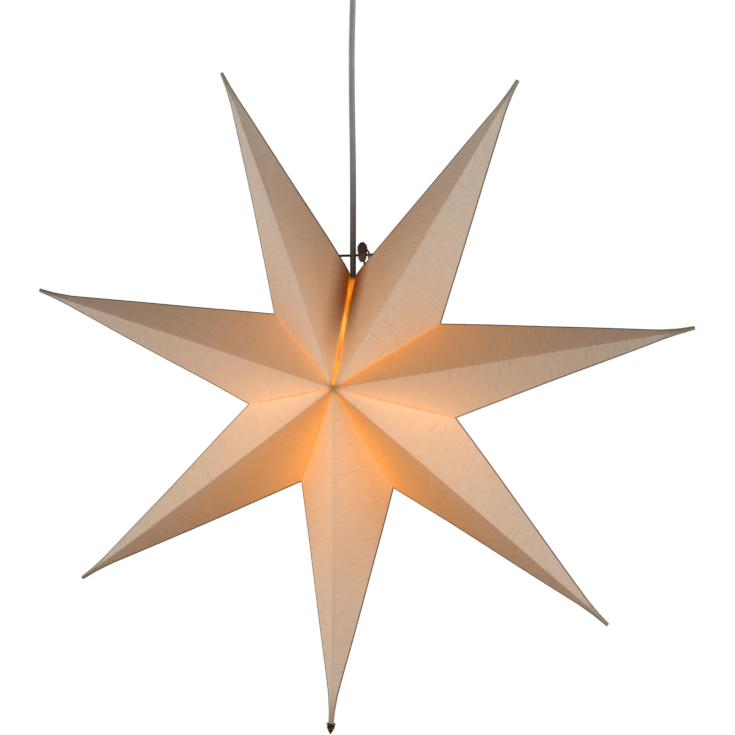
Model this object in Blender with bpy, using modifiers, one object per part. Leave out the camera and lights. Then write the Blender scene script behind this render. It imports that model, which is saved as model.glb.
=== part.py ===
"""A folding star lantern: seven hollow paper points around a small lamp, on a round cord.

Metres, +Z up, front at -Y. The origin is the middle of the ceiling plate's top face. The cord
runs down the Z axis to the lampholder inside the star.
"""

import math

import bmesh
import bpy
from mathutils import Matrix, Vector

GAP = 0.0003
WELD = 0.00001
CUT_PAST = 0.001

# The star
POINT_COUNT = 7
TIP_RADIUS = 0.307
NOTCH_RADIUS = 0.0977
HALF_DEPTH = 0.080
LEAN = math.radians(3.4)
STAR_DROP = 0.434
PAPER = 0.0005
FLANGE_WIDTH = 0.011
CENTRE_HOLE = 0.003
STALK_LENGTH = 0.030
STALK_MIDDLE = 0.014
STALK_ROOT_SHARE = 0.078
STALK_MIDDLE_SHARE = 0.046
STALK_END_SHARE = 0.027
CAPPED_SHORTENING = 0.0015
CAPPED_END_SHARE = 0.036
SEAM_HALF_GAP_AT_CENTRE = 0.0023
CORD_PLAY_IN_SEAM = 0.0005
BOARD = 0.0012
BOARD_INSET = 0.0016

# The string that closes the star, behind the cord
STRING_RADIUS = 0.0009
STRING_HOLE = 0.0016
STRING_HOLE_STRIP = 0.0040
STRING_SPAN_LEFT = 0.01214
STRING_SPAN_RIGHT = 0.0189
STRING_TAIL = 0.006
STOP_KNOT_RADIUS = 0.0024
KNOT_SIZE = (0.0042, 0.0029, 0.0100)

# The bottom cap on the lowest point
CAP_RADIUS = 0.0039
CAP_LENGTH = 0.0100
CAP_OVERLAP = 0.0050
CAP_WALL = 0.0008
CAP_STRAIGHT_SHARE = 0.55

# The cord, from inside the lampholder up into its hanger: (sideways, above the star's middle)
CORD_RADIUS = 0.0027
CORD_ROUTE = (
    (0.0, 0.0590),
    (0.0, 0.0738),
    (0.0, 0.0980),
    (0.0, 0.1250),
    (0.0, 0.1520),
    (0.0, 0.1800),
    (-0.0002, 0.2050),
    (-0.0006, 0.2300),
    (-0.0010, 0.2550),
    (-0.0012, 0.2800),
    (-0.0011, 0.3050),
    (-0.0006, 0.3280),
    (-0.0001, 0.3480),
    (0.0, 0.3640),
    (0.0, 0.3780),
    (0.0, 0.3890),
)
CORD_SPACING = 0.012

# The ceiling fittings
PLATE_RADIUS = 0.028
PLATE_THICKNESS = 0.003
PLATE_SCREW_HOLE = 0.0022
PLATE_SCREW_REACH = 0.020
BOSS_RADIUS = 0.006
BOSS_HEIGHT = 0.008
BOSS_BORE_DEPTH = 0.0065
HOOK_WIRE = 0.0018
HOOK_RADIUS = 0.007
HOOK_DROP = 0.024
HOOK_FROM = math.radians(115)
HOOK_TO = math.radians(390)
EYE_RADIUS = 0.0045
EYE_WIRE = 0.0012
HANGER_RADIUS = 0.006
HANGER_LENGTH = 0.022
HANGER_CHAMFER = 0.001
HANGER_BORE_END = 0.007
HANGER_SCREW_RADIUS = 0.0015
HANGER_SCREW_DROP = 0.0150
BLOCK_SIZE = (0.012, 0.024, 0.014)
BLOCK_NEAR = 0.012
BLOCK_WELL = 0.0019
BLOCK_WELL_DEPTH = 0.009
BLOCK_WIRE_HOLE = 0.0013
BLOCK_SCREW_RADIUS = 0.0015
BLOCK_SCREW_LENGTH = 0.004
BLOCK_SCREW_PITCH = 0.0055

# The ceiling cup
CUP_RADIUS = 0.038
CUP_TOP = 0.008
CUP_HEIGHT = 0.0565
CUP_CORNER = 0.020
CUP_WALL = 0.001
GRIP_NECK = 0.0065
GRIP_NECK_LENGTH = 0.0145
GRIP_FLANGE = 0.010
GRIP_FLANGE_THICKNESS = 0.002
GRIP_BORE = 0.0042
GRIP_SCREW_RADIUS = 0.0018
GRIP_SCREW_HEAD = 0.0035
GRIP_SCREW_HEAD_LENGTH = 0.005

SCREW_PROUD = 0.0010

# A small screw's slot: half its length, half its width and its depth, in shares of the radius
SLOT_SHARES = (1.2, 0.2, 0.5)

# The lampholder, stacked down from the top
SEAT_DROP = 0.0065
NUT_HEIGHT = 0.0085
NUT_TOP_RADIUS = 0.0055
NUT_FOOT_RADIUS = 0.0070
NUT_TAPER = 0.0051
HOLDER_RADIUS = 0.014
HOLDER_WALL = 0.0012
DOME_HEIGHT = 0.020
DOME_TOP_RADIUS = 0.0075
SHELL_HEIGHT = 0.024
INSERT_THICKNESS = 0.005
INSERT_RISE = 0.001
SLEEVE_BORE = 0.00725
SLEEVE_WALL = 0.00035
SLEEVE_LENGTH = 0.0215
SLEEVE_EYE = 0.004
CONTACT_RADIUS = 0.0025
CONTACT_FOOT_RADIUS = 0.0015
CONTACT_HEIGHT = 0.0018
HOLDER_SCREW_REACH = 0.0085
HOLDER_SCREW_RADIUS = 0.0014

# The lamp
LAMP_CAP_RADIUS = 0.00695
LAMP_CAP_WALL = 0.0004
LAMP_CAP_LENGTH = 0.0205
THREAD_DEPTH = 0.0005
THREAD_TURNS = 5
INSULATOR_HEIGHT = 0.0022
TIP_HEIGHT = 0.0010
TIP_CHAMFER = 0.0005
TIP_RADIUS_LAMP = 0.0024
GLASS_RADIUS = 0.0225
GLASS_WALL = 0.0006
GLASS_NECK = 0.0058
GLASS_NECK_LENGTH = 0.0035
GLASS_LENGTH = 0.0540
GLASS_SHOULDER = 8
STEM_RADIUS = 0.0015
STEM_LENGTH = 0.032
FILAMENT_COUNT = 4
FILAMENT_RADIUS = 0.0008
FILAMENT_LENGTH = 0.028
FILAMENT_REACH = 0.0070
FILAMENT_TOP_REACH = 0.0042
FILAMENT_RISE = 0.0035

# How finely round pieces are divided
LARGE_ROUND = 32
ROUND = 24
CAP_ROUND = 16
SMALL_ROUND = 12
TINY_ROUND = 8
NOSE_STEPS = 5
DOME_STEPS = 4
CUP_CORNER_STEPS = 6
BULB_STEPS = 12
HOOK_STEPS = 14
EYE_STEPS = 16

STAR = Vector((0.0, 0.0, -STAR_DROP))
POINT_PITCH = 2 * math.pi / POINT_COUNT
SEAM_HALF_GAP_AT_NOTCH = CORD_RADIUS + CORD_PLAY_IN_SEAM
APOTHEM = NOTCH_RADIUS * HALF_DEPTH / math.hypot(NOTCH_RADIUS, HALF_DEPTH)
FLANGE_SHARE = 1 - FLANGE_WIDTH / APOTHEM
HOLDER_TOP = NOTCH_RADIUS * FLANGE_SHARE - SEAT_DROP
DOME_TOP = HOLDER_TOP - NUT_HEIGHT - GAP
SHELL_TOP = DOME_TOP - DOME_HEIGHT - GAP
INSERT_FOOT = SHELL_TOP + INSERT_RISE
CONTACT_TOP = INSERT_FOOT - GAP
TIP_TOP = CONTACT_TOP - CONTACT_HEIGHT - GAP
CAP_TOP = TIP_TOP - TIP_HEIGHT - GAP - INSULATOR_HEIGHT
CAP_FOOT = CAP_TOP - LAMP_CAP_LENGTH
GLASS_TOP = CAP_FOOT + GLASS_NECK_LENGTH
GLASS_MIDDLE = GLASS_TOP - GLASS_LENGTH + GLASS_RADIUS
CUP_FLOOR = -CUP_TOP - CUP_HEIGHT
EYE_MIDDLE = HOOK_WIRE - HOOK_DROP - HOOK_RADIUS + GAP + EYE_WIRE - EYE_RADIUS
HANGER_TOP = EYE_MIDDLE - EYE_RADIUS - EYE_WIRE / 2


def clear_scene():
    for obj in list(bpy.data.objects):
        bpy.data.objects.remove(obj, do_unlink=True)


def new_collection(name, hidden=False):
    made = bpy.data.collections.new(name)
    bpy.context.scene.collection.children.link(made)
    made.hide_render = hidden
    return made


def material(name, colour, roughness, metallic=0.0, alpha=1.0):
    made = bpy.data.materials.new(name)
    made.use_nodes = True
    shader = made.node_tree.nodes["Principled BSDF"]
    shader.inputs["Base Color"].default_value = (*colour, 1.0)
    shader.inputs["Roughness"].default_value = roughness
    shader.inputs["Metallic"].default_value = metallic
    shader.inputs["Alpha"].default_value = alpha
    return made


def all_materials():
    return {
        "paper": material("paper", (0.78, 0.60, 0.47), 0.85),
        "board": material("board", (0.30, 0.20, 0.12), 0.90),
        "string": material("string", (0.06, 0.045, 0.035), 0.80),
        "cord": material("cord", (0.22, 0.22, 0.21), 0.65),
        "brass": material("brass", (0.55, 0.40, 0.16), 0.35, 1.0),
        "steel": material("steel", (0.62, 0.62, 0.63), 0.35, 1.0),
        "plastic": material("plastic", (0.80, 0.79, 0.76), 0.45),
        "cup": material("cup", (0.75, 0.74, 0.71), 0.40),
        "ceramic": material("ceramic", (0.82, 0.80, 0.75), 0.50),
        "glass": material("glass", (0.95, 0.90, 0.80), 0.15, 0.0, 0.35),
        "filament": material("filament", (0.95, 0.70, 0.30), 0.50),
        "insulator": material("insulator", (0.05, 0.04, 0.05), 0.25),
    }


def place(mesh, name, parts, finish, location=(0.0, 0.0, 0.0)):
    obj = bpy.data.objects.new(name, mesh)
    obj.location = location
    mesh.materials.append(finish)
    parts.objects.link(obj)
    return obj


def helper(mesh, name, helpers, location=(0.0, 0.0, 0.0)):
    """A cutter or an addition for a Boolean, which is no piece of its own."""
    obj = bpy.data.objects.new(name, mesh)
    obj.location = location
    obj.hide_render = True
    obj.display_type = "WIRE"
    helpers.objects.link(obj)
    return obj


def boolean(obj, other, operation="DIFFERENCE"):
    change = obj.modifiers.new(operation.title(), "BOOLEAN")
    change.operation = operation
    change.object = other


def mesh_of(bm, name, smooth_below=math.radians(35)):
    mesh = bpy.data.meshes.new(name)
    bm.to_mesh(mesh)
    bm.free()
    mesh.shade_smooth()
    mesh.set_sharp_from_angle(angle=smooth_below)
    return mesh


def turned(name, profile, closed, parts, finish, steps, location):
    """A profile of (radius, height) turned about Z. It runs down its outer side."""
    bm = bmesh.new()
    corners = [bm.verts.new((radius, 0.0, height)) for radius, height in profile]
    for first, second in zip(corners, corners[1:]):
        bm.edges.new((first, second))
    if closed:
        bm.edges.new((corners[-1], corners[0]))
    mesh = bpy.data.meshes.new(name)
    bm.to_mesh(mesh)
    bm.free()
    obj = place(mesh, name, parts, finish, location)
    screw = obj.modifiers.new("Turn", "SCREW")
    screw.axis = "Z"
    screw.steps = steps
    screw.render_steps = steps
    screw.use_smooth_shade = True
    screw.use_merge_vertices = True
    screw.merge_threshold = WELD
    return obj


def arc(middle_radius, middle_height, radius, start, end, count):
    """Points of (radius, height) on an arc, its angles in degrees from the +X direction."""
    angles = [math.radians(start + (end - start) * i / count) for i in range(count + 1)]
    return [
        (middle_radius + radius * math.cos(a), middle_height + radius * math.sin(a))
        for a in angles
    ]


def rod_mesh(name, radius, start, end, sides=SMALL_ROUND):
    """A closed cylinder between two places."""
    start, end = Vector(start), Vector(end)
    along = end - start
    bm = bmesh.new()
    bmesh.ops.create_cone(
        bm, cap_ends=True, segments=sides, radius1=radius, radius2=radius, depth=along.length
    )
    turn = Vector((0.0, 0.0, 1.0)).rotation_difference(along).to_matrix().to_4x4()
    move = Matrix.Translation((start + end) / 2) @ turn
    bmesh.ops.transform(bm, matrix=move, verts=bm.verts)
    return mesh_of(bm, name)


def box_mesh(name, low, high):
    low, high = Vector(low), Vector(high)
    bm = bmesh.new()
    bmesh.ops.create_cube(bm, size=1.0)
    bmesh.ops.scale(bm, vec=high - low, verts=bm.verts)
    bmesh.ops.translate(bm, vec=(low + high) / 2, verts=bm.verts)
    return mesh_of(bm, name)


def wire(name, points, radius, parts, finish, location=(0.0, 0.0, 0.0)):
    """A round wire or cord along points, with flat ends."""
    curve = bpy.data.curves.new(name, "CURVE")
    curve.dimensions = "3D"
    curve.bevel_depth = radius
    curve.bevel_resolution = 2
    curve.use_fill_caps = True
    spline = curve.splines.new("POLY")
    spline.points.add(len(points) - 1)
    for slot, point in zip(spline.points, points):
        slot.co = (*point, 1.0)
    return place(curve, name, parts, finish, location)


def smooth_route(points, spacing):
    """Even steps along a smooth curve through the points."""
    points = [Vector(point) for point in points]
    ends = [2 * points[0] - points[1], *points, 2 * points[-1] - points[-2]]
    fine = []
    for before, start, end, after in zip(ends, ends[1:], ends[2:], ends[3:]):
        steps = max(1, round((end - start).length / spacing))
        for i in range(steps):
            t = i / steps
            fine.append(
                0.5
                * (
                    2 * start
                    + (end - before) * t
                    + (2 * before - 5 * start + 4 * end - after) * t * t
                    + (3 * start - before - 3 * end + after) * t * t * t
                )
            )
    return [*fine, points[-1]]


def slotted_screw(name, radius, start, end, parts, helpers, finish):
    """A small screw from its tip at start to its slotted end."""
    start, end = Vector(start), Vector(end)
    screw = place(rod_mesh(name, radius, start, end), name, parts, finish)
    along = (end - start).normalized()
    across = along.orthogonal().normalized()
    thick = along.cross(across)
    slot = bmesh.new()
    bmesh.ops.create_cube(slot, size=2 * radius)
    axes = Matrix((across, thick, along)).transposed().to_4x4()
    reach = Matrix.Diagonal((*SLOT_SHARES, 1.0))
    bmesh.ops.transform(slot, matrix=Matrix.Translation(end) @ axes @ reach, verts=slot.verts)
    boolean(screw, helper(mesh_of(slot, name + "_slot"), name + "_slot", helpers))
    return screw


def sector_plane(half_angle, side, at_centre, at_notch):
    """The plane that bounds a point on one side: (a place on it, its outward normal)."""
    turn = math.atan2(at_notch - at_centre, NOTCH_RADIUS)
    angle = half_angle - turn
    normal = Vector((side * math.cos(angle), 0.0, -math.sin(angle)))
    return -normal * at_centre, normal


def wedge_foot(planes):
    """The height at which a point's two bounding planes meet."""
    (place_on, normal), (other_place, other_normal) = planes
    offset, other_offset = place_on.dot(normal), other_place.dot(other_normal)
    across = normal.x * other_normal.z - normal.z * other_normal.x
    return (normal.x * other_offset - other_normal.x * offset) / across


def add_flange(bm, place_on, normal):
    """Folds a glue flange inwards along every open edge that lies in a bounding plane."""
    near = GAP / 10
    rim = [
        edge
        for edge in bm.edges
        if edge.is_boundary
        and all(abs((vert.co - place_on).dot(normal)) < near for vert in edge.verts)
    ]
    made = bmesh.ops.extrude_edge_only(bm, edges=rim)["geom"]
    verts = [item for item in made if isinstance(item, bmesh.types.BMVert)]
    share = FLANGE_SHARE
    bmesh.ops.scale(
        bm, vec=(share, share, share), verts=verts, space=Matrix.Translation(-place_on)
    )


def point_frame(angle):
    """Turns a point built upwards to its place on the star."""
    return Matrix.Translation(STAR) @ Matrix.Rotation(angle, 4, "Y")


def point_mesh(name, sides, tip_radius, end_share, creases):
    """A hollow point built upwards from the star's middle. sides is one
    (direction, half angle, gap at the centre, gap at the notch) for each side. creases are
    planes that part the paper's faces, so that a hole changes only the strip it is in."""
    root = tip_radius - STALK_LENGTH
    width = {}
    for direction, half_angle, _, _ in sides:
        rise = NOTCH_RADIUS * math.cos(half_angle) / root
        reach = NOTCH_RADIUS * math.sin(half_angle)
        width[direction] = reach / (1 - (1 - STALK_ROOT_SHARE) * rise)
    bm = bmesh.new()
    ring = bmesh.ops.create_circle(bm, cap_ends=False, segments=4, radius=1.0)["verts"]
    for vert in ring:
        across = round(vert.co.x)
        vert.co = (across * width.get(across, 0.0), round(vert.co.y) * HALF_DEPTH, 0.0)
    edges = list(bm.edges)
    share = 1.0
    height = 0.0
    heights = (root, tip_radius - STALK_MIDDLE, tip_radius)
    shares = (STALK_ROOT_SHARE, STALK_MIDDLE_SHARE, end_share)
    for new_height, new_share in zip(heights, shares):
        made = bmesh.ops.extrude_edge_only(bm, edges=edges)["geom"]
        verts = [item for item in made if isinstance(item, bmesh.types.BMVert)]
        edges = [item for item in made if isinstance(item, bmesh.types.BMEdge)]
        edges = [edge for edge in edges if all(vert in verts for vert in edge.verts)]
        factor = new_share / share
        bmesh.ops.scale(bm, vec=(factor, factor, 1.0), verts=verts)
        bmesh.ops.translate(bm, vec=(0.0, 0.0, new_height - height), verts=verts)
        share, height = new_share, new_height
    bmesh.ops.contextual_create(bm, geom=edges)
    bmesh.ops.recalc_face_normals(bm, faces=bm.faces)
    planes = [
        sector_plane(half_angle, direction, at_centre, at_notch)
        for direction, half_angle, at_centre, at_notch in sides
    ]
    for place_on, normal in planes:
        bmesh.ops.bisect_plane(
            bm,
            geom=[*bm.verts, *bm.edges, *bm.faces],
            dist=GAP / 100,
            plane_co=place_on,
            plane_no=normal,
            clear_outer=True,
        )
        add_flange(bm, place_on, normal)
    bmesh.ops.bisect_plane(
        bm,
        geom=[*bm.verts, *bm.edges, *bm.faces],
        dist=GAP / 100,
        plane_co=(0.0, 0.0, wedge_foot(planes) + CENTRE_HOLE),
        plane_no=(0.0, 0.0, -1.0),
        clear_outer=True,
    )
    for place_on, normal in creases:
        bmesh.ops.bisect_plane(
            bm,
            geom=[*bm.verts, *bm.edges, *bm.faces],
            dist=GAP / 100,
            plane_co=place_on,
            plane_no=normal,
        )
    top = max(bm.faces, key=lambda face: face.calc_center_median().z)
    if top.normal.z < 0:
        bmesh.ops.reverse_faces(bm, faces=bm.faces)
    return mesh_of(bm, name)


def point_angles():
    """(angle of the middle, half angle before, half angle after) of each point, clockwise
    from the seam as seen from the front. The seam itself hangs plumb under the cord, so the
    two points beside it take up the star's lean."""
    angles = []
    for number in range(POINT_COUNT):
        middle = LEAN + (number + 0.5) * POINT_PITCH
        before = middle if number == 0 else POINT_PITCH / 2
        after = POINT_PITCH / 2
        if number == POINT_COUNT - 1:
            after = 2 * math.pi - middle
        angles.append((middle, before, after))
    return angles


def string_places():
    """The string's ends inside the upper left and upper right points, above the star's middle.
    Each end's height is where the cord's side is a span away from that point's edge."""
    behind = CORD_RADIUS + STRING_RADIUS + 2 * GAP
    angles = point_angles()
    ends = []
    for side, (middle, _, _), span in (
        (-1, angles[-1], STRING_SPAN_LEFT),
        (1, angles[0], STRING_SPAN_RIGHT),
    ):
        tip = Vector((math.sin(middle), math.cos(middle))) * TIP_RADIUS
        slope = abs(tip.x) / (tip.y - NOTCH_RADIUS)
        edge = CORD_RADIUS + span
        rise = NOTCH_RADIUS + (edge - SEAM_HALF_GAP_AT_NOTCH) / slope
        recess = behind * NOTCH_RADIUS / HALF_DEPTH
        ends.append(Vector((side * (edge + recess + STRING_TAIL), behind, rise)))
    return ends


def make_points(parts, helpers, paper):
    plain = (GAP / 2, GAP / 2)
    seam = (SEAM_HALF_GAP_AT_CENTRE, SEAM_HALF_GAP_AT_NOTCH)
    lowest = POINT_COUNT // 2
    string_left, string_right = string_places()
    for number, (middle, before, after) in enumerate(point_angles()):
        first, last = number == 0, number == POINT_COUNT - 1
        sides = (
            (-1, before, *(seam if first else plain)),
            (1, after, *(seam if last else plain)),
        )
        capped = number == lowest
        tip = TIP_RADIUS - (CAPPED_SHORTENING if capped else 0.0)
        share = CAPPED_END_SHARE if capped else STALK_END_SHARE
        creases = []
        if first or last:
            end = string_right if first else string_left
            turn = Matrix.Rotation(-middle, 3, "Y")
            for reach in (-STRING_HOLE_STRIP, STRING_HOLE_STRIP):
                edge = Vector((0.0, 0.0, end.z + reach))
                creases.append((turn @ edge, turn @ Vector((0.0, 0.0, 1.0))))
        name = f"star_point_{number + 1}"
        point = place(point_mesh(name, sides, tip, share, creases), name, parts, paper)
        point.matrix_world = point_frame(middle)
        skin = point.modifiers.new("Paper", "SOLIDIFY")
        skin.thickness = PAPER
        skin.offset = -1.0
        skin.use_even_offset = True
        if first or last:
            start = Vector((0.0, end.y, end.z))
            hole_name = f"{name}_string_hole"
            hole = rod_mesh(hole_name, STRING_HOLE, start + STAR, end + STAR)
            boolean(point, helper(hole, hole_name, helpers))


def make_seam_boards(parts, board):
    """A stiff strip behind the glue flange on each side of the open seam."""
    centre = SEAM_HALF_GAP_AT_CENTRE + PAPER + GAP
    notch = SEAM_HALF_GAP_AT_NOTCH + PAPER + GAP
    outer = 1 - BOARD_INSET / APOTHEM
    for side, name in ((-1, "seam_board_left"), (1, "seam_board_right")):
        foot = Vector((side * centre, 0.0, 0.0))
        lift = Vector((side * (notch - centre), 0.0, NOTCH_RADIUS))
        front = Vector((0.0, -HALF_DEPTH, 0.0))
        bm = bmesh.new()
        corners = [foot + outer * way for way in (front, lift, -front)]
        verts = [bm.verts.new(corner) for corner in corners]
        rim = [bm.edges.new(pair) for pair in zip(verts, verts[1:])]
        made = bmesh.ops.extrude_edge_only(bm, edges=rim)["geom"]
        inner = [item for item in made if isinstance(item, bmesh.types.BMVert)]
        share = FLANGE_SHARE / outer
        space = Matrix.Translation(-foot)
        bmesh.ops.scale(bm, vec=(share, share, share), verts=inner, space=space)
        bmesh.ops.bisect_plane(
            bm,
            geom=[*bm.verts, *bm.edges, *bm.faces],
            dist=GAP / 100,
            plane_co=(0.0, 0.0, BOARD_INSET + BOARD + CENTRE_HOLE * 2),
            plane_no=(0.0, 0.0, -1.0),
            clear_outer=True,
        )
        for face in bm.faces:
            if face.normal.x * side > 0:
                face.normal_flip()
        obj = place(mesh_of(bm, name), name, parts, board, STAR)
        thick = obj.modifiers.new("Board", "SOLIDIFY")
        thick.thickness = BOARD
        thick.offset = -1.0


def make_string(parts, finish):
    left, right = string_places()
    wire("tie_string", [left, right], STRING_RADIUS, parts, finish, STAR)
    for name, end, side in (("string_stop_left", left, -1), ("string_stop_right", right, 1)):
        bm = bmesh.new()
        bmesh.ops.create_icosphere(bm, subdivisions=2, radius=STOP_KNOT_RADIUS)
        away = Vector((side * (STOP_KNOT_RADIUS + GAP), 0.0, 0.0))
        bmesh.ops.translate(bm, vec=end + away, verts=bm.verts)
        place(mesh_of(bm, name), name, parts, finish, STAR)
    bm = bmesh.new()
    bmesh.ops.create_uvsphere(bm, u_segments=SMALL_ROUND, v_segments=TINY_ROUND, radius=1.0)
    bmesh.ops.scale(bm, vec=KNOT_SIZE, verts=bm.verts)
    beside = CORD_RADIUS + GAP + KNOT_SIZE[0]
    height = (left.z + right.z) / 2
    bmesh.ops.translate(bm, vec=(beside, 0.0, height), verts=bm.verts)
    place(mesh_of(bm, "tie_knot"), "tie_knot", parts, finish, STAR)


def make_bottom_cap(parts, brass):
    """A bullet-shaped cap, built pointing up and turned onto the lowest point."""
    paper_end = TIP_RADIUS - CAPPED_SHORTENING
    mouth = paper_end - CAP_OVERLAP
    bore = CAP_RADIUS - CAP_WALL
    straight = mouth + CAP_LENGTH * CAP_STRAIGHT_SHARE
    tip = mouth + CAP_LENGTH
    nose = tip - straight
    profile = [(0.0, tip)]
    for step in range(1, NOSE_STEPS + 1):
        turn = math.pi / 2 * (1 - step / NOSE_STEPS)
        profile.append((CAP_RADIUS * math.cos(turn), straight + nose * math.sin(turn)))
    profile += [(CAP_RADIUS, mouth), (bore, mouth)]
    profile += [(bore, paper_end + GAP), (0.0, paper_end + GAP)]
    cap = turned("bottom_cap", profile, False, parts, brass, CAP_ROUND, (0, 0, 0))
    cap.matrix_world = point_frame(point_angles()[POINT_COUNT // 2][0])


def make_cord(parts, finish):
    route = [(x, 0.0, z) for x, z in CORD_ROUTE]
    wire("cord", smooth_route(route, CORD_SPACING), CORD_RADIUS, parts, finish, STAR)


def make_holder(parts, helpers, finishes):
    bore = CORD_RADIUS + GAP
    plastic, steel = finishes["plastic"], finishes["steel"]
    nut_foot = HOLDER_TOP - NUT_HEIGHT
    nut = [
        (NUT_TOP_RADIUS, HOLDER_TOP),
        (NUT_FOOT_RADIUS, HOLDER_TOP - NUT_TAPER),
        (NUT_FOOT_RADIUS, nut_foot),
        (bore, nut_foot),
        (bore, HOLDER_TOP),
    ]
    turned("holder_cord_nut", nut, True, parts, plastic, ROUND, STAR)

    shoulder = HOLDER_RADIUS - DOME_TOP_RADIUS
    inner = HOLDER_RADIUS - HOLDER_WALL
    outer_arc = arc(DOME_TOP_RADIUS, DOME_TOP - shoulder, shoulder, 90, 0, DOME_STEPS)
    bend = shoulder - HOLDER_WALL
    inner_arc = arc(DOME_TOP_RADIUS, DOME_TOP - shoulder, bend, 0, 90, DOME_STEPS)
    dome_foot = DOME_TOP - DOME_HEIGHT
    dome = [(bore, DOME_TOP), *outer_arc, (HOLDER_RADIUS, dome_foot), (inner, dome_foot)]
    dome += [*inner_arc, (bore, DOME_TOP - HOLDER_WALL)]
    turned("holder_dome", dome, True, parts, plastic, ROUND, STAR)

    shell_foot = SHELL_TOP - SHELL_HEIGHT
    shell = [(HOLDER_RADIUS, SHELL_TOP), (HOLDER_RADIUS, shell_foot)]
    shell += [(inner, shell_foot), (inner, SHELL_TOP)]
    turned("holder_shell", shell, True, parts, plastic, ROUND, STAR)

    insert_top = INSERT_FOOT + INSERT_THICKNESS
    edge = inner - GAP
    insert = [(0.0, insert_top), (edge, insert_top), (edge, INSERT_FOOT), (0.0, INSERT_FOOT)]
    body = turned("holder_insert", insert, False, parts, finishes["ceramic"], ROUND, STAR)
    for side, word in ((-1, "left"), (1, "right")):
        name = f"holder_screw_{word}"
        spot = Vector((side * HOLDER_SCREW_REACH, 0.0, 0.0)) + STAR
        floor = spot + Vector((0.0, 0.0, insert_top - INSERT_THICKNESS / 2))
        above = spot + Vector((0.0, 0.0, insert_top + SCREW_PROUD))
        hole = rod_mesh(name + "_hole", HOLDER_SCREW_RADIUS + GAP, floor, above)
        boolean(body, helper(hole, name + "_hole", helpers))
        lift = Vector((0.0, 0.0, GAP))
        slotted_screw(name, HOLDER_SCREW_RADIUS, floor + lift, above, parts, helpers, steel)

    top = INSERT_FOOT - GAP
    foot = top - SLEEVE_LENGTH
    outside = SLEEVE_BORE + SLEEVE_WALL
    sleeve = [(SLEEVE_EYE, top), (outside, top), (outside, foot), (SLEEVE_BORE, foot)]
    sleeve += [(SLEEVE_BORE, top - SLEEVE_WALL), (SLEEVE_EYE, top - SLEEVE_WALL)]
    turned("holder_sleeve", sleeve, True, parts, finishes["brass"], ROUND, STAR)

    low = CONTACT_TOP - CONTACT_HEIGHT
    contact = [(0.0, CONTACT_TOP), (CONTACT_RADIUS, CONTACT_TOP)]
    contact += [(CONTACT_FOOT_RADIUS, low), (0.0, low)]
    turned("holder_contact", contact, False, parts, finishes["brass"], SMALL_ROUND, STAR)


def thread(top, foot, crest):
    """The outer side of a threaded cap, down from the top, as rings."""
    pitch = (top - foot) / THREAD_TURNS
    points = []
    for turn in range(THREAD_TURNS):
        start = top - turn * pitch
        points.append((crest - THREAD_DEPTH, start))
        points.append((crest, start - pitch / 2))
    return [*points, (crest - THREAD_DEPTH, foot)]


def make_lamp(parts, finishes):
    steel, glass = finishes["steel"], finishes["glass"]
    tip_foot = TIP_TOP - TIP_HEIGHT
    tip = [(0.0, TIP_TOP), (TIP_RADIUS_LAMP - TIP_CHAMFER, TIP_TOP)]
    tip += [(TIP_RADIUS_LAMP, TIP_TOP - TIP_CHAMFER)]
    tip += [(TIP_RADIUS_LAMP, tip_foot), (0.0, tip_foot)]
    turned("lamp_cap_contact", tip, False, parts, steel, SMALL_ROUND, STAR)

    cone_top = tip_foot - GAP
    cone_foot = cone_top - INSULATOR_HEIGHT
    cap_inner = LAMP_CAP_RADIUS - THREAD_DEPTH - LAMP_CAP_WALL
    cone = [(0.0, cone_top), (TIP_RADIUS_LAMP, cone_top)]
    cone += [(cap_inner, cone_foot + GAP), (cap_inner, cone_foot), (0.0, cone_foot)]
    turned("lamp_cap_insulator", cone, False, parts, finishes["insulator"], ROUND, STAR)

    top = cone_foot - GAP
    cap = thread(top, CAP_FOOT + LAMP_CAP_WALL, LAMP_CAP_RADIUS)
    cap += [(LAMP_CAP_RADIUS, CAP_FOOT), (cap_inner, CAP_FOOT), (cap_inner, top)]
    turned("lamp_cap", cap, True, parts, steel, ROUND, STAR)

    inner_radius = GLASS_RADIUS - GLASS_WALL
    neck_inner = GLASS_NECK - GLASS_WALL
    start = math.degrees(math.acos(GLASS_NECK / GLASS_RADIUS)) - GLASS_SHOULDER
    outside = arc(0.0, GLASS_MIDDLE, GLASS_RADIUS, start, -90, BULB_STEPS)
    inside = arc(0.0, GLASS_MIDDLE, inner_radius, -90, start, BULB_STEPS)
    shoulder = CAP_FOOT - GAP
    bulb = [*inside, (neck_inner, shoulder), (neck_inner, GLASS_TOP)]
    bulb += [(GLASS_NECK, GLASS_TOP), (GLASS_NECK, shoulder), *outside]
    bulb[0] = (0.0, GLASS_MIDDLE - inner_radius)
    bulb[-1] = (0.0, GLASS_MIDDLE - GLASS_RADIUS)
    turned("lamp_glass", bulb, False, parts, glass, ROUND, STAR)

    foot = neck_inner - GAP
    low = GLASS_TOP - STEM_LENGTH
    stem = [(0.0, GLASS_TOP), (foot, GLASS_TOP), (foot, shoulder)]
    stem += [(STEM_RADIUS, shoulder - 2 * foot), (STEM_RADIUS, low), (0.0, low)]
    turned("lamp_stem", stem, False, parts, glass, SMALL_ROUND, STAR)

    middle = GLASS_MIDDLE + FILAMENT_RISE
    for number in range(FILAMENT_COUNT):
        angle = 2 * math.pi * (number + 0.5) / FILAMENT_COUNT
        spread = Vector((math.cos(angle), math.sin(angle), 0.0))
        high = spread * FILAMENT_TOP_REACH + Vector((0, 0, middle + FILAMENT_LENGTH / 2))
        low = spread * FILAMENT_REACH + Vector((0, 0, middle - FILAMENT_LENGTH / 2))
        name = f"lamp_filament_{number + 1}"
        rod = rod_mesh(name, FILAMENT_RADIUS, low, high)
        place(rod, name, parts, finishes["filament"], STAR)


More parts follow.
